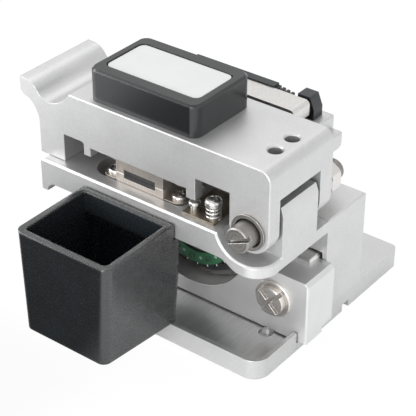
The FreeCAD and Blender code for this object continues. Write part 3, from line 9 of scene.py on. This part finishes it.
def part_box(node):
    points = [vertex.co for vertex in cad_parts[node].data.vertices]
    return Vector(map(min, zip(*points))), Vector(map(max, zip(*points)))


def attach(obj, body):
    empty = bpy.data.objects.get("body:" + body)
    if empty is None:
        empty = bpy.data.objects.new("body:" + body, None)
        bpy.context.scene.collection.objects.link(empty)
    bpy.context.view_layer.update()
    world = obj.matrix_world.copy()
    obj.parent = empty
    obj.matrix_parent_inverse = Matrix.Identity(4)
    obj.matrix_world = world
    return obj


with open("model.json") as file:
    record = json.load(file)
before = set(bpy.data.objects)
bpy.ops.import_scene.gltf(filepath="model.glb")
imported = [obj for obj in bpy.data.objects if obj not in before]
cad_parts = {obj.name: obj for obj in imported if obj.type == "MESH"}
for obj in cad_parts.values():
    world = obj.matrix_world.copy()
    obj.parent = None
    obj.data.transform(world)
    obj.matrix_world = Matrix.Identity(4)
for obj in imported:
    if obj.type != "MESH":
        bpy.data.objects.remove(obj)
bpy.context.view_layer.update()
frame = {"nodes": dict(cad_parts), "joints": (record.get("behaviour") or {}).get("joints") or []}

MM = 0.001


# ---------------------------------------------------------------- shader values and finishes
class Wire:
    """One socket's value. Arithmetic on it adds Math nodes to its material."""

    def __init__(self, finish, socket):
        self.finish = finish
        self.socket = socket

    def math(self, operation, *others):
        values = dict(enumerate((self,) + others))
        return self.finish.node("ShaderNodeMath", {"operation": operation}, values)

    def __add__(self, other):
        return self.math("ADD", other)

    __radd__ = __add__

    def __sub__(self, other):
        return self.math("SUBTRACT", other)

    def __rsub__(self, other):
        return self.finish.node("ShaderNodeMath", {"operation": "SUBTRACT"}, {0: other, 1: self})

    def __mul__(self, other):
        return self.math("MULTIPLY", other)

    def __gt__(self, other):
        return self.math("GREATER_THAN", other)

    def __lt__(self, other):
        return self.math("LESS_THAN", other)

    def step(self, low, high):
        """0 below low, 1 above high, smooth between them."""
        return self.finish.node("ShaderNodeMapRange", {"interpolation_type": "SMOOTHSTEP", "clamp": True},
                                {"Value": self, "From Min": low, "From Max": high})


class Finish:
    """A procedural material around one Principled shader."""

    def __init__(self, name, **constants):
        self.material = bpy.data.materials.new(name)
        self.material.use_nodes = True
        self.tree = self.material.node_tree
        self.shader = self.tree.nodes["Principled BSDF"]
        for socket, value in constants.items():
            self.feed(socket.replace("_", " "), value)
        place = self.node("ShaderNodeTexCoord", output="Object")
        self.mm = self.node("ShaderNodeVectorMath", {"operation": "SCALE"}, {0: place, "Scale": 1 / MM})

    def node(self, kind, settings=None, inputs=None, output=0):
        """A new node of this kind, with its inputs set or linked. Gives the named output."""
        made = self.tree.nodes.new(kind)
        for key, value in (settings or {}).items():
            setattr(made, key, value)
        for key, value in (inputs or {}).items():
            self.join(made.inputs[key], value)
        return Wire(self, made.outputs[output])

    def join(self, socket, value):
        if isinstance(value, Wire):
            self.tree.links.new(value.socket, socket)
        else:
            socket.default_value = value

    def feed(self, socket, value):
        self.join(self.shader.inputs[socket], value)

    def along(self, axis):
        """The place along X, Y or Z, in millimetres."""
        return self.node("ShaderNodeSeparateXYZ", {}, {0: self.mm}, axis)

    def noise(self, scale, detail=2.0, roughness=0.5, stretch=(1.0, 1.0, 1.0)):
        """Noise with features 1 / scale millimetres wide, drawn out where stretch is small."""
        place = self.node("ShaderNodeVectorMath", {"operation": "MULTIPLY"}, {0: self.mm, 1: stretch})
        inputs = {"Vector": place, "Scale": scale, "Detail": detail, "Roughness": roughness}
        return self.node("ShaderNodeTexNoise", {}, inputs, "Fac")

    def tint(self, factor, low, high):
        """Colour from low to high, each a plain colour or the wire of one."""
        low, high = (color if isinstance(color, Wire) else (*color, 1.0) for color in (low, high))
        return self.node("ShaderNodeMix", {"data_type": "RGBA"}, {"Factor": factor, 6: low, 7: high}, 2)

    def bump(self, height, distance, strength=1.0, normal=None):
        inputs = {"Height": height, "Distance": distance * MM, "Strength": strength}
        if normal:
            inputs["Normal"] = normal
        return self.node("ShaderNodeBump", {}, inputs, "Normal")

    # Edge mask for painted highlights: the finishes paint their edges lighter with it.
    def edge_highlight_and_rounding(self, radius):
        """1 on outer and inner edges, 0 on faces; and the normal rounded by radius."""
        rounded = self.node("ShaderNodeBevel", {"samples": 6}, {"Radius": radius * MM}, "Normal")
        flat = self.node("ShaderNodeNewGeometry", output="Normal")
        same = self.node("ShaderNodeVectorMath", {"operation": "DOT_PRODUCT"}, {0: rounded, 1: flat}, "Value")
        return (1.0 - same).step(0.01, 0.16), rounded

    def facing(self, centre):
        """Above 0 on faces that look away from the centre, below 0 on inner walls."""
        out = self.node("ShaderNodeVectorMath", {"operation": "SUBTRACT"}, {0: self.mm, 1: centre})
        normal = self.node("ShaderNodeNewGeometry", output="Normal")
        return self.node("ShaderNodeVectorMath", {"operation": "DOT_PRODUCT"}, {0: out, 1: normal}, "Value")


def gray(value, warm=0.0):
    """Gray of this value, a little red when warm is above 0 and a little blue below it."""
    return value * (1 + warm), value, value * (1 - warm)


def blasted_aluminium(name, low, high):
    """Bead-blasted and clear anodised, with edges painted lighter: partly polished chamfers cut after, partly
    a painted highlight.
    """
    finish = Finish(name, Metallic=0.85, Specular_IOR_Level=0.5)
    finish.grain = finish.noise(2.2, 3.0, 0.8)
    cloud = finish.noise(0.09, 2.0, 0.5)
    finish.edge, finish.rounded = finish.edge_highlight_and_rounding(0.18)
    color = finish.tint(cloud.step(0.3, 0.7), gray(low), gray(high))
    color = finish.tint(finish.grain.step(0.35, 0.75) * 0.5, color, gray(0.66))
    # Painted highlight, partly polished chamfers: edges and chamfers lighter in colour.
    finish.color = finish.tint(finish.edge * 0.4, color, gray(0.78))
    finish.rough = 0.38 + finish.grain * 0.12 - finish.edge * 0.10
    return finish


def anodised_aluminium(name, low, high):
    finish = blasted_aluminium(name, low, high)
    finish.feed("Base Color", finish.color)
    finish.feed("Roughness", finish.rough)
    finish.feed("Normal", finish.bump(finish.grain, 0.036, 1.0, finish.rounded))
    return finish.material


def tray_aluminium(low, high):
    """The same finish, with the milled floor of the tray, from corner to corner, brushed along Y."""
    finish = blasted_aluminium("tray_aluminium", 0.50, 0.54)
    strokes = finish.noise(3.6, 3.0, 0.6, stretch=(1.0, 0.03, 1.0))
    x, y, z = (finish.along(axis) for axis in "XYZ")
    milled = (z < high.z) * (z > low.z) * (x > low.x) * (x < high.x) * (y > low.y) * (y < high.y)
    brushed = finish.tint(strokes.step(0.25, 0.75), gray(0.50), gray(0.64))
    finish.feed("Base Color", finish.tint(milled, finish.color, brushed))
    finish.feed("Roughness", finish.rough - milled * (0.16 - strokes * 0.14))
    height = finish.grain * (1.0 - milled) + strokes * milled * 0.3
    finish.feed("Normal", finish.bump(height, 0.020, 1.0, finish.rounded))
    return finish.material


def bright_metal(name, dark, light, roughness, warm=0.03, strokes=(1.0, 1.0, 1.0), stroke_scale=4.0):
    """Plated or ground steel with faint machining marks, and edges painted lighter as a painted highlight."""
    finish = Finish(name, Metallic=1.0)
    lines = finish.noise(stroke_scale, 2.0, 0.5, stretch=strokes)
    smudge = finish.noise(0.4, 2.0, 0.5)
    edge, rounded = finish.edge_highlight_and_rounding(0.12)
    color = finish.tint(lines.step(0.3, 0.7), gray(dark, warm), gray(light, warm))
    # Painted highlight: edges lighter in colour.
    finish.feed("Base Color", finish.tint(edge * 0.5, color, gray(0.88, warm)))
    finish.feed("Roughness", roughness + lines * 0.06 + smudge * 0.10)
    finish.feed("Normal", finish.bump(lines, 0.0015, 0.5, rounded))
    return finish.material


def turned_metal(name, axis, dark, light, roughness):
    """Lathe-turned steel: soft rings of shade about the line along Y through the point axis."""
    finish = Finish(name, Metallic=1.0)
    across = finish.along("X") - axis.x / MM
    up = finish.along("Z") - axis.z / MM
    radius = (across * across + up * up).math("SQRT")
    rings = (radius * 7.0 + finish.noise(0.5, 1.0, 0.5) * 2.0).math("SINE") * 0.5 + 0.5
    smudge = finish.noise(0.5, 2.0, 0.5)
    edge, rounded = finish.edge_highlight_and_rounding(0.16)
    color = finish.tint(rings * 0.5 + smudge * 0.5, gray(dark, 0.05), gray(light, 0.045))
    # Painted highlight: edges lighter in colour.
    finish.feed("Base Color", finish.tint(edge * 0.7, color, gray(0.92, 0.01)))
    finish.feed("Roughness", roughness + smudge * 0.12 + rings * 0.04)
    finish.feed("Normal", finish.bump(smudge, 0.004, 0.4, rounded))
    return finish.material


def moulded_plastic(name, dark, light, roughness, grain_depth, grain_scale=4.0, edge_radius=0.3, shine=0.5,
                    painted_light_centre=None):
    """Moulded black plastic with an eroded texture, edges painted lighter as a painted highlight and, in a
    bin, inner walls painted lighter as painted light inside the bin.
    """
    finish = Finish(name, Specular_IOR_Level=shine)
    grain = finish.noise(grain_scale, 3.0, 0.7)
    haze = finish.noise(0.16, 3.0, 0.55)
    edge, rounded = finish.edge_highlight_and_rounding(edge_radius)
    base = finish.tint(haze.step(0.3, 0.75), gray(dark, -0.18), gray(light, -0.18))
    # Painted highlight: edges lighter in colour.
    base = finish.tint(edge * 0.35, base, gray(light * 2.2, -0.03))
    # Painted light: the bin's inner walls are painted lighter, standing in for light inside the bin.
    if painted_light_centre:
        inward = finish.facing(painted_light_centre) < 0.0
        base = finish.tint(inward * (0.5 + grain * 0.5), base, gray(0.018, -0.18))
    finish.feed("Base Color", base)
    finish.feed("Roughness", roughness + grain * 0.16 - haze * 0.06)
    finish.feed("Normal", finish.bump(grain, grain_depth, 0.9, rounded))
    return finish.material


def rubber(name, color):
    finish = Finish(name, Specular_IOR_Level=0.35)
    dust = finish.noise(0.9, 4.0, 0.65)
    grain = finish.noise(7.0, 2.0, 0.6)
    finish.feed("Base Color", finish.tint(dust.step(0.35, 0.8), gray(color), gray(color * 1.9)))
    finish.feed("Roughness", 0.78 + grain * 0.15)
    finish.feed("Normal", finish.bump(grain, 0.02, 0.8))
    return finish.material


def bronzed_plate():
    """Thin rolled spring steel, oxidised to a dark bronze."""
    finish = Finish("bronzed_plate", Metallic=0.9)
    stain = finish.noise(0.45, 4.0, 0.6)
    roll = finish.noise(5.0, 2.0, 0.5, stretch=(1.0, 0.05, 1.0))
    edge, rounded = finish.edge_highlight_and_rounding(0.08)
    color = finish.tint(stain.step(0.25, 0.75), (0.20, 0.17, 0.13), (0.34, 0.30, 0.24))
    # Painted highlight: edges lighter in colour.
    finish.feed("Base Color", finish.tint(edge * 0.6, color, gray(0.6, 0.05)))
    finish.feed("Roughness", 0.34 + roll * 0.14 + stain * 0.08)
    finish.feed("Normal", finish.bump(roll, 0.004, 0.6, rounded))
    return finish.material


def glazed_ceramic():
    finish = Finish("ceramic", Coat_Roughness=0.08)
    speck = finish.noise(2.4, 4.0, 0.7)
    finish.feed("Base Color", finish.tint(speck.step(0.4, 0.8), (0.80, 0.79, 0.75), (0.70, 0.68, 0.63)))
    finish.feed("Roughness", 0.22 + speck * 0.12)
    finish.feed("Coat Weight", 0.2 + speck * 0.2)
    return finish.material


def printed_panel():
    """Pearl white panel under a clear film."""
    finish = Finish("white_panel", Coat_Roughness=0.12)
    pearl = finish.noise(0.10, 2.0, 0.5)
    peel = finish.noise(1.6, 2.0, 0.5)
    finish.feed("Base Color", finish.tint(pearl.step(0.3, 0.7), gray(0.60), gray(0.62)))
    finish.feed("Roughness", 0.34 + peel * 0.08)
    finish.feed("Coat Weight", 0.3 + pearl * 0.2)
    finish.feed("Normal", finish.bump(peel, 0.003, 0.5))
    return finish.material


def dial_print(name, low, high, roughness=0.5):
    """Print or paint, slightly uneven."""
    finish = Finish(name)
    uneven = finish.noise(1.1, 4.0, 0.65)
    finish.feed("Base Color", finish.tint(uneven.step(0.3, 0.75), low, high))
    finish.feed("Roughness", roughness + uneven * 0.15)
    finish.feed("Normal", finish.bump(uneven, 0.006, 0.5))
    return finish.material


# ---------------------------------------------------------------- places, from the frame
def node_box(name):
    """The node's lowest and highest corner, in metres."""
    low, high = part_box(name)
    return Vector(low), Vector(high)


def joint_place(name):
    """A point on the joint's axis."""
    for joint in frame["joints"]:
        if joint["name"] == name:
            return Vector(joint["pos_m"])
    raise KeyError(name)


pivot = joint_place("lever_open")
wheel = joint_place("blade_turn")
adjuster = joint_place("height_adjust")
plate_low, plate_high = node_box("base_plate")
ring_low = node_box("number_ring")[0]
hub_low = node_box("blade_hub")[0]
carriage_low, carriage_high = node_box("carriage")
bin_low, bin_high = node_box("scrap_bin")

TRAY_RIM = 1.2          # millimetres, from the plate's sides
TRAY_LOW = 1.0          # above the plate's underside
TRAY_BACK = 0.3         # behind the carriage
tray_low = Vector((plate_low.x / MM + TRAY_RIM, plate_low.y / MM + TRAY_RIM, TRAY_LOW))
tray_high = Vector((plate_high.x / MM - TRAY_RIM, carriage_high.y / MM + TRAY_BACK, carriage_low.z / MM))

# ---------------------------------------------------------------- finishes for the CAD nodes
FINISHES = {
    "anodised": anodised_aluminium("anodised_aluminium", 0.52, 0.56),
    # The carriage's aluminium is painted lighter than the rest of the body: painted light for the light
    # reflected onto it.
    "carriage": anodised_aluminium("carriage_aluminium_painted_lighter", 0.63, 0.68),
    "tray": tray_aluminium(tray_low, tray_high),
    "screws": bright_metal("screw_nickel", 0.50, 0.61, 0.20),
    "nickel": bright_metal("nickel_plate", 0.56, 0.66, 0.24, 0.025),
    "pin": turned_metal("pin_steel", pivot, 0.20, 0.30, 0.36),
    "adjuster": turned_metal("adjuster_steel", adjuster, 0.56, 0.72, 0.28),
    "spindle": turned_metal("spindle_steel", wheel, 0.42, 0.56, 0.30),
    "clamps": bright_metal("clamp_steel", 0.38, 0.52, 0.36, warm=0.09, strokes=(1.0, 1.0, 0.04),
                           stroke_scale=5.0),
    "rail": bright_metal("rail_steel", 0.66, 0.78, 0.28, warm=0.01, strokes=(0.04, 1.0, 1.0)),
    # The blade and clamp washer are painted very dark: partly the blade's own dark grey, partly painted shade
    # of the carriage's pocket they sit in.
    "blade": turned_metal("blade_steel_painted_dark", wheel, 0.10, 0.15, 0.34),
    "guard": bronzed_plate(),
    "cap": moulded_plastic("cap_plastic", 0.005, 0.008, 0.19, grain_depth=0.005, edge_radius=0.4, shine=0.7),
    "black": moulded_plastic("black_plastic", 0.010, 0.016, 0.30, grain_depth=0.008),
    # The bin: its wide edge radius spreads the painted edge highlight, and its inner walls get painted light.
    "bin": moulded_plastic("bin_plastic", 0.006, 0.009, 0.22, grain_scale=2.6, grain_depth=0.011,
                           edge_radius=0.9, shine=1.0, painted_light_centre=(bin_low + bin_high) / 2 / MM),
    "hub": moulded_plastic("hub_black", 0.008, 0.012, 0.38, grain_depth=0.006, edge_radius=0.12),
    "foot": rubber("foot_rubber", 0.020),
    "pads": rubber("pad_rubber", 0.022),
    "ceramic": glazed_ceramic(),
    "panel": printed_panel(),
    "green": dial_print("green_print", (0.012, 0.075, 0.030), (0.020, 0.11, 0.046)),
}

NODE_FINISH = {
    "anodised": ("upper_frame", "lever_arm", "holder_lid"),
    "carriage": ("carriage",),
    "tray": ("base_plate",),
    "screws": ("frame_screws", "lower_clamp_screws", "guard_screw", "spring_screw", "rail_screws",
               "holder_screws", "cap_screws", "clamp_guide_screws", "slider_screws"),
    "nickel": ("guard_spring", "clamp_springs", "lid_cover", "pivot_nut"),
    "pin": ("pivot_pin", "ear_bushings"),
    "adjuster": ("height_adjuster", "adjuster_bush"),
    "spindle": ("wheel_spindle",),
    "clamps": ("lower_front_clamp", "lower_rear_clamp", "upper_clamp"),
    "rail": ("guide_rail", "rail_slider"),
    "blade": ("blade", "clamp_washer"),
    "guard": ("guard_plate",),
    "cap": ("lever_cap",),
    "black": ("fibre_holder", "lid_insert"),
    "bin": ("scrap_bin",),
    "hub": ("blade_hub",),
    "foot": ("rubber_foot",),
    "pads": ("lower_pads", "upper_pads", "lid_pad"),
    "ceramic": ("anvil",),
    "panel": ("cap_panel",),
    "green": ("number_ring",),
}


WELD_REACH = 0.002 * MM
CRISP_ANGLE = math.radians(28)


def smooth_curves(node):
    """Round faces shade smoothly and edges stay crisp."""
    for polygon in node.data.polygons:
        polygon.use_smooth = True
    weld = node.modifiers.new("weld", "WELD")
    weld.merge_threshold = WELD_REACH
    split = node.modifiers.new("split", "EDGE_SPLIT")
    split.split_angle = CRISP_ANGLE


for finish_name, node_names in NODE_FINISH.items():
    for node_name in node_names:
        cad_node = frame["nodes"][node_name]
        cad_node.data.materials.clear()
        cad_node.data.materials.append(FINISHES[finish_name])
        smooth_curves(cad_node)


# ---------------------------------------------------------------- print on the dial
def in_scene(name, data):
    """A new object in the scene that shows the data."""
    added = bpy.data.objects.new(name, data)
    bpy.context.scene.collection.objects.link(added)
    return added


def mesh_of(form, name):
    """The form as a mesh. The form is freed."""
    mesh = bpy.data.meshes.new(name)
    form.to_mesh(mesh)
    form.free()
    return mesh


def printed_piece(name, prints, ink):
    """All prints of one ink as one piece that rides on the blade wheel."""
    form = bmesh.new()
    for mesh in prints:
        form.from_mesh(mesh)
        bpy.data.meshes.remove(mesh)
    piece = in_scene(name, mesh_of(form, name))
    piece.data.materials.append(ink)
    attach(piece, "blade_wheel")


def printed_figure(text, height, place):
    """Text with capitals of this height, as thick as the print, centred where the matrix place says."""
    curve = bpy.data.curves.new("figure", "FONT")
    curve.body = text
    curve.size = height / CAPITAL_SHARE
    curve.align_x = "CENTER"
    curve.align_y = "CENTER"
    curve.extrude = PRINT_DEPTH / 2
    curve.resolution_u = 4
    holder = in_scene("figure", curve)
    bpy.context.view_layer.update()
    mesh = bpy.data.meshes.new_from_object(holder.evaluated_get(bpy.context.evaluated_depsgraph_get()))
    bpy.data.objects.remove(holder)
    bpy.data.curves.remove(curve)
    mesh.transform(place)
    return mesh


def dial_angle(step):
    """Angle of the dial's step, where step 0 carries the number 1."""
    return FIRST_NUMBER_ANGLE + DIAL_STEP * step


def dial_place(angle, radius, face):
    """On the dial's face, turned to the front, with the top of the print outwards."""
    turn = Matrix.Rotation(math.pi / 2, 4, "X")
    upright = Matrix.Rotation(angle - math.pi / 2, 4, "Z")
    centre = wheel + Vector((radius * math.cos(angle), 0, radius * math.sin(angle)))
    return Matrix.Translation(Vector((centre.x, face - PRINT_DEPTH / 2, centre.z))) @ turn @ upright


def printed_disc(name, corners, radius, place):
    """A round dot, or an arrowhead when it has 3 corners."""
    form = bmesh.new()
    bmesh.ops.create_cone(form, segments=corners, radius1=radius, radius2=radius, depth=PRINT_DEPTH,
                          cap_ends=True, matrix=place)
    bmesh.ops.recalc_face_normals(form, faces=form.faces)
    return mesh_of(form, name)


def printed_tick(place):
    form = bmesh.new()
    size = Matrix.Diagonal((TICK_WIDTH, TICK_OUTER - TICK_INNER, PRINT_DEPTH, 1))
    bmesh.ops.create_cube(form, size=1, matrix=place @ size)
    bmesh.ops.recalc_face_normals(form, faces=form.faces)
    return mesh_of(form, "tick")


CAPITAL_SHARE = 0.7     # height of a capital in the font's size
PRINT_DEPTH = 0.06 * MM
DIAL_STEPS = 24
DIAL_STEP = math.radians(360 / DIAL_STEPS)
LOW_NUMBER = 19         # the number that stands low on the dial's right
LOW_NUMBER_ANGLE = math.radians(-64.5)
FIRST_NUMBER_ANGLE = LOW_NUMBER_ANGLE - DIAL_STEP * (LOW_NUMBER - 1)
NUMBER_RADIUS = 9.35 * MM
NUMBER_HEIGHT = 1.55 * MM
DOT_RADIUS = 0.42 * MM
TICK_INNER = 11.05 * MM
TICK_OUTER = 11.55 * MM
TICK_WIDTH = 0.22 * MM
ARROW_PLACE = 6.3 * MM
ARROW_RADIUS = 0.75 * MM
ARROW_EVERY = 6         # steps of the dial

numbers = []
dots = []
marks = []
for step in range(DIAL_STEPS):
    place = dial_place(dial_angle(step), NUMBER_RADIUS, ring_low.y)
    if step % 2 == 0:
        numbers.append(printed_figure(str(step + 1), NUMBER_HEIGHT, place))
    else:
        dots.append(printed_disc("dot", 16, DOT_RADIUS, place))
for step in range(DIAL_STEPS):
    place = dial_place(dial_angle(step + 0.5), (TICK_INNER + TICK_OUTER) / 2, hub_low.y)
    marks.append(printed_tick(place))
for step in range(0, DIAL_STEPS, ARROW_EVERY):
    place = dial_place(dial_angle(step), ARROW_PLACE, hub_low.y)
    marks.append(printed_disc("arrow", 3, ARROW_RADIUS, place))

number_ink = dial_print("number_ink", (0.010, 0.012, 0.010), (0.022, 0.025, 0.022), 0.45)
dot_ink = dial_print("dot_ink", (0.16, 0.22, 0.18), (0.26, 0.32, 0.28), 0.45)
white_ink = dial_print("white_ink", (0.66, 0.66, 0.64), (0.78, 0.78, 0.76))
printed_piece("dial_numbers", numbers, number_ink)
printed_piece("dial_dots", dots, dot_ink)
printed_piece("dial_marks", marks, white_ink)


# ---------------------------------------------------------------- floor, world and light
def camera_white(tree, surface, share):
    """Shows white straight to the camera, by share, and the surface to everything else."""
    glow = tree.nodes.new("ShaderNodeEmission")
    path = tree.nodes.new("ShaderNodeLightPath")
    seen = tree.nodes.new("ShaderNodeMath")
    seen.operation = "MULTIPLY"
    seen.inputs[1].default_value = share
    blend = tree.nodes.new("ShaderNodeMixShader")
    tree.links.new(path.outputs["Is Camera Ray"], seen.inputs[0])
    tree.links.new(seen.outputs[0], blend.inputs[0])
    tree.links.new(surface, blend.inputs[1])
    tree.links.new(glow.outputs[0], blend.inputs[2])
    tree.links.new(blend.outputs[0], tree.nodes["Material Output"].inputs["Surface"])


def pale_floor():
    """Pale floor that glows behind the part, with a dark card in front for the plastics to mirror."""
    form = bmesh.new()
    bmesh.ops.create_grid(form, x_segments=1, y_segments=1, size=FLOOR_HALF)
    floor = in_scene("floor", mesh_of(form, "floor"))
    finish = Finish("floor_white", Roughness=0.9, Specular_IOR_Level=0.2, Emission_Strength=1.0)
    front = (0.0 - finish.along("Y")).step(CARD_FRONT, CARD_FRONT + CARD_FADE)
    right = finish.along("X")
    card = front * (CARD_RIGHT - right).step(0.0, CARD_FADE) * (right - CARD_LEFT).step(-CARD_FADE, 0.0)
    finish.feed("Base Color", finish.tint(card, gray(0.88), gray(0.03)))
    finish.feed("Emission Color", finish.tint(front, gray(FLOOR_GLOW), gray(0.0)))
    camera_white(finish.tree, finish.shader.outputs[0], FLOOR_WHITE_SHARE)
    floor.data.materials.append(finish.material)


def white_world(strength):
    """Soft light on matt faces, and full white to the camera and in metal and glass."""
    world = bpy.data.worlds.new("studio")
    bpy.context.scene.world = world
    world.use_nodes = True
    tree = world.node_tree
    soft = tree.nodes["Background"]
    soft.inputs["Color"].default_value = (0.98, 0.99, 1.0, 1)
    soft.inputs["Strength"].default_value = strength
    white = tree.nodes.new("ShaderNodeBackground")
    white.inputs["Color"].default_value = (1, 1, 1, 1)
    path = tree.nodes.new("ShaderNodeLightPath")
    seen = path.outputs["Is Camera Ray"]
    for kind in ("Is Glossy Ray", "Is Transmission Ray"):
        either = tree.nodes.new("ShaderNodeMath")
        either.operation = "MAXIMUM"
        tree.links.new(seen, either.inputs[0])
        tree.links.new(path.outputs[kind], either.inputs[1])
        seen = either.outputs[0]
    blend = tree.nodes.new("ShaderNodeMixShader")
    tree.links.new(seen, blend.inputs[0])
    tree.links.new(soft.outputs[0], blend.inputs[1])
    tree.links.new(white.outputs[0], blend.inputs[2])
    tree.links.new(blend.outputs[0], tree.nodes["World Output"].inputs["Surface"])


def softbox(name, place, size, power):
    """Square area light that faces the middle of the part."""
    light = bpy.data.lights.new(name, "AREA")
    light.shape = "SQUARE"
    light.size = size
    light.energy = power
    lamp = in_scene(name, light)
    lamp.location = place
    lamp.rotation_euler = (MIDDLE - Vector(place)).to_track_quat("-Z", "Y").to_euler()


FLOOR_HALF = 2.0        # metres
FLOOR_GLOW = 0.20
FLOOR_WHITE_SHARE = 0.96
CARD_FRONT = 34.0       # millimetres in front of the middle
CARD_LEFT = -68.0
CARD_RIGHT = 12.0
CARD_FADE = 22.0
WORLD_STRENGTH = 0.80
MIDDLE = Vector((0, 0, 0.03))

pale_floor()
white_world(WORLD_STRENGTH)
softbox("overhead", (-0.15, 0.15, 0.60), 0.50, 1.0)
softbox("front_low", (0.14, -0.60, 0.12), 0.30, 3.3)
softbox("key_left", (-0.55, -0.35, 0.25), 0.40, 3.5)
softbox("side_right", (0.60, -0.10, 0.22), 0.45, 0.35)

# ---------------------------------------------------------------- camera
CAMERA_PLACE = Vector((172.07, -230.52, 205.50)) * MM
CAMERA_AZIMUTH = 37.52
CAMERA_ELEVATION = 32.95
CAMERA_ROLL = 0.11
CAMERA_LENS = 125.65

camera_data = bpy.data.cameras.new("camera")
camera_data.lens = CAMERA_LENS
camera_data.sensor_width = 36.0
camera_data.clip_start = 0.01
camera = in_scene("camera", camera_data)
aim = (Matrix.Rotation(math.radians(CAMERA_AZIMUTH), 4, "Z")
       @ Matrix.Rotation(math.radians(90 - CAMERA_ELEVATION), 4, "X")
       @ Matrix.Rotation(math.radians(CAMERA_ROLL), 4, "Z"))
camera.matrix_world = Matrix.Translation(CAMERA_PLACE) @ aim
bpy.context.scene.camera = camera
bpy.context.scene.view_settings.view_transform = "Standard"
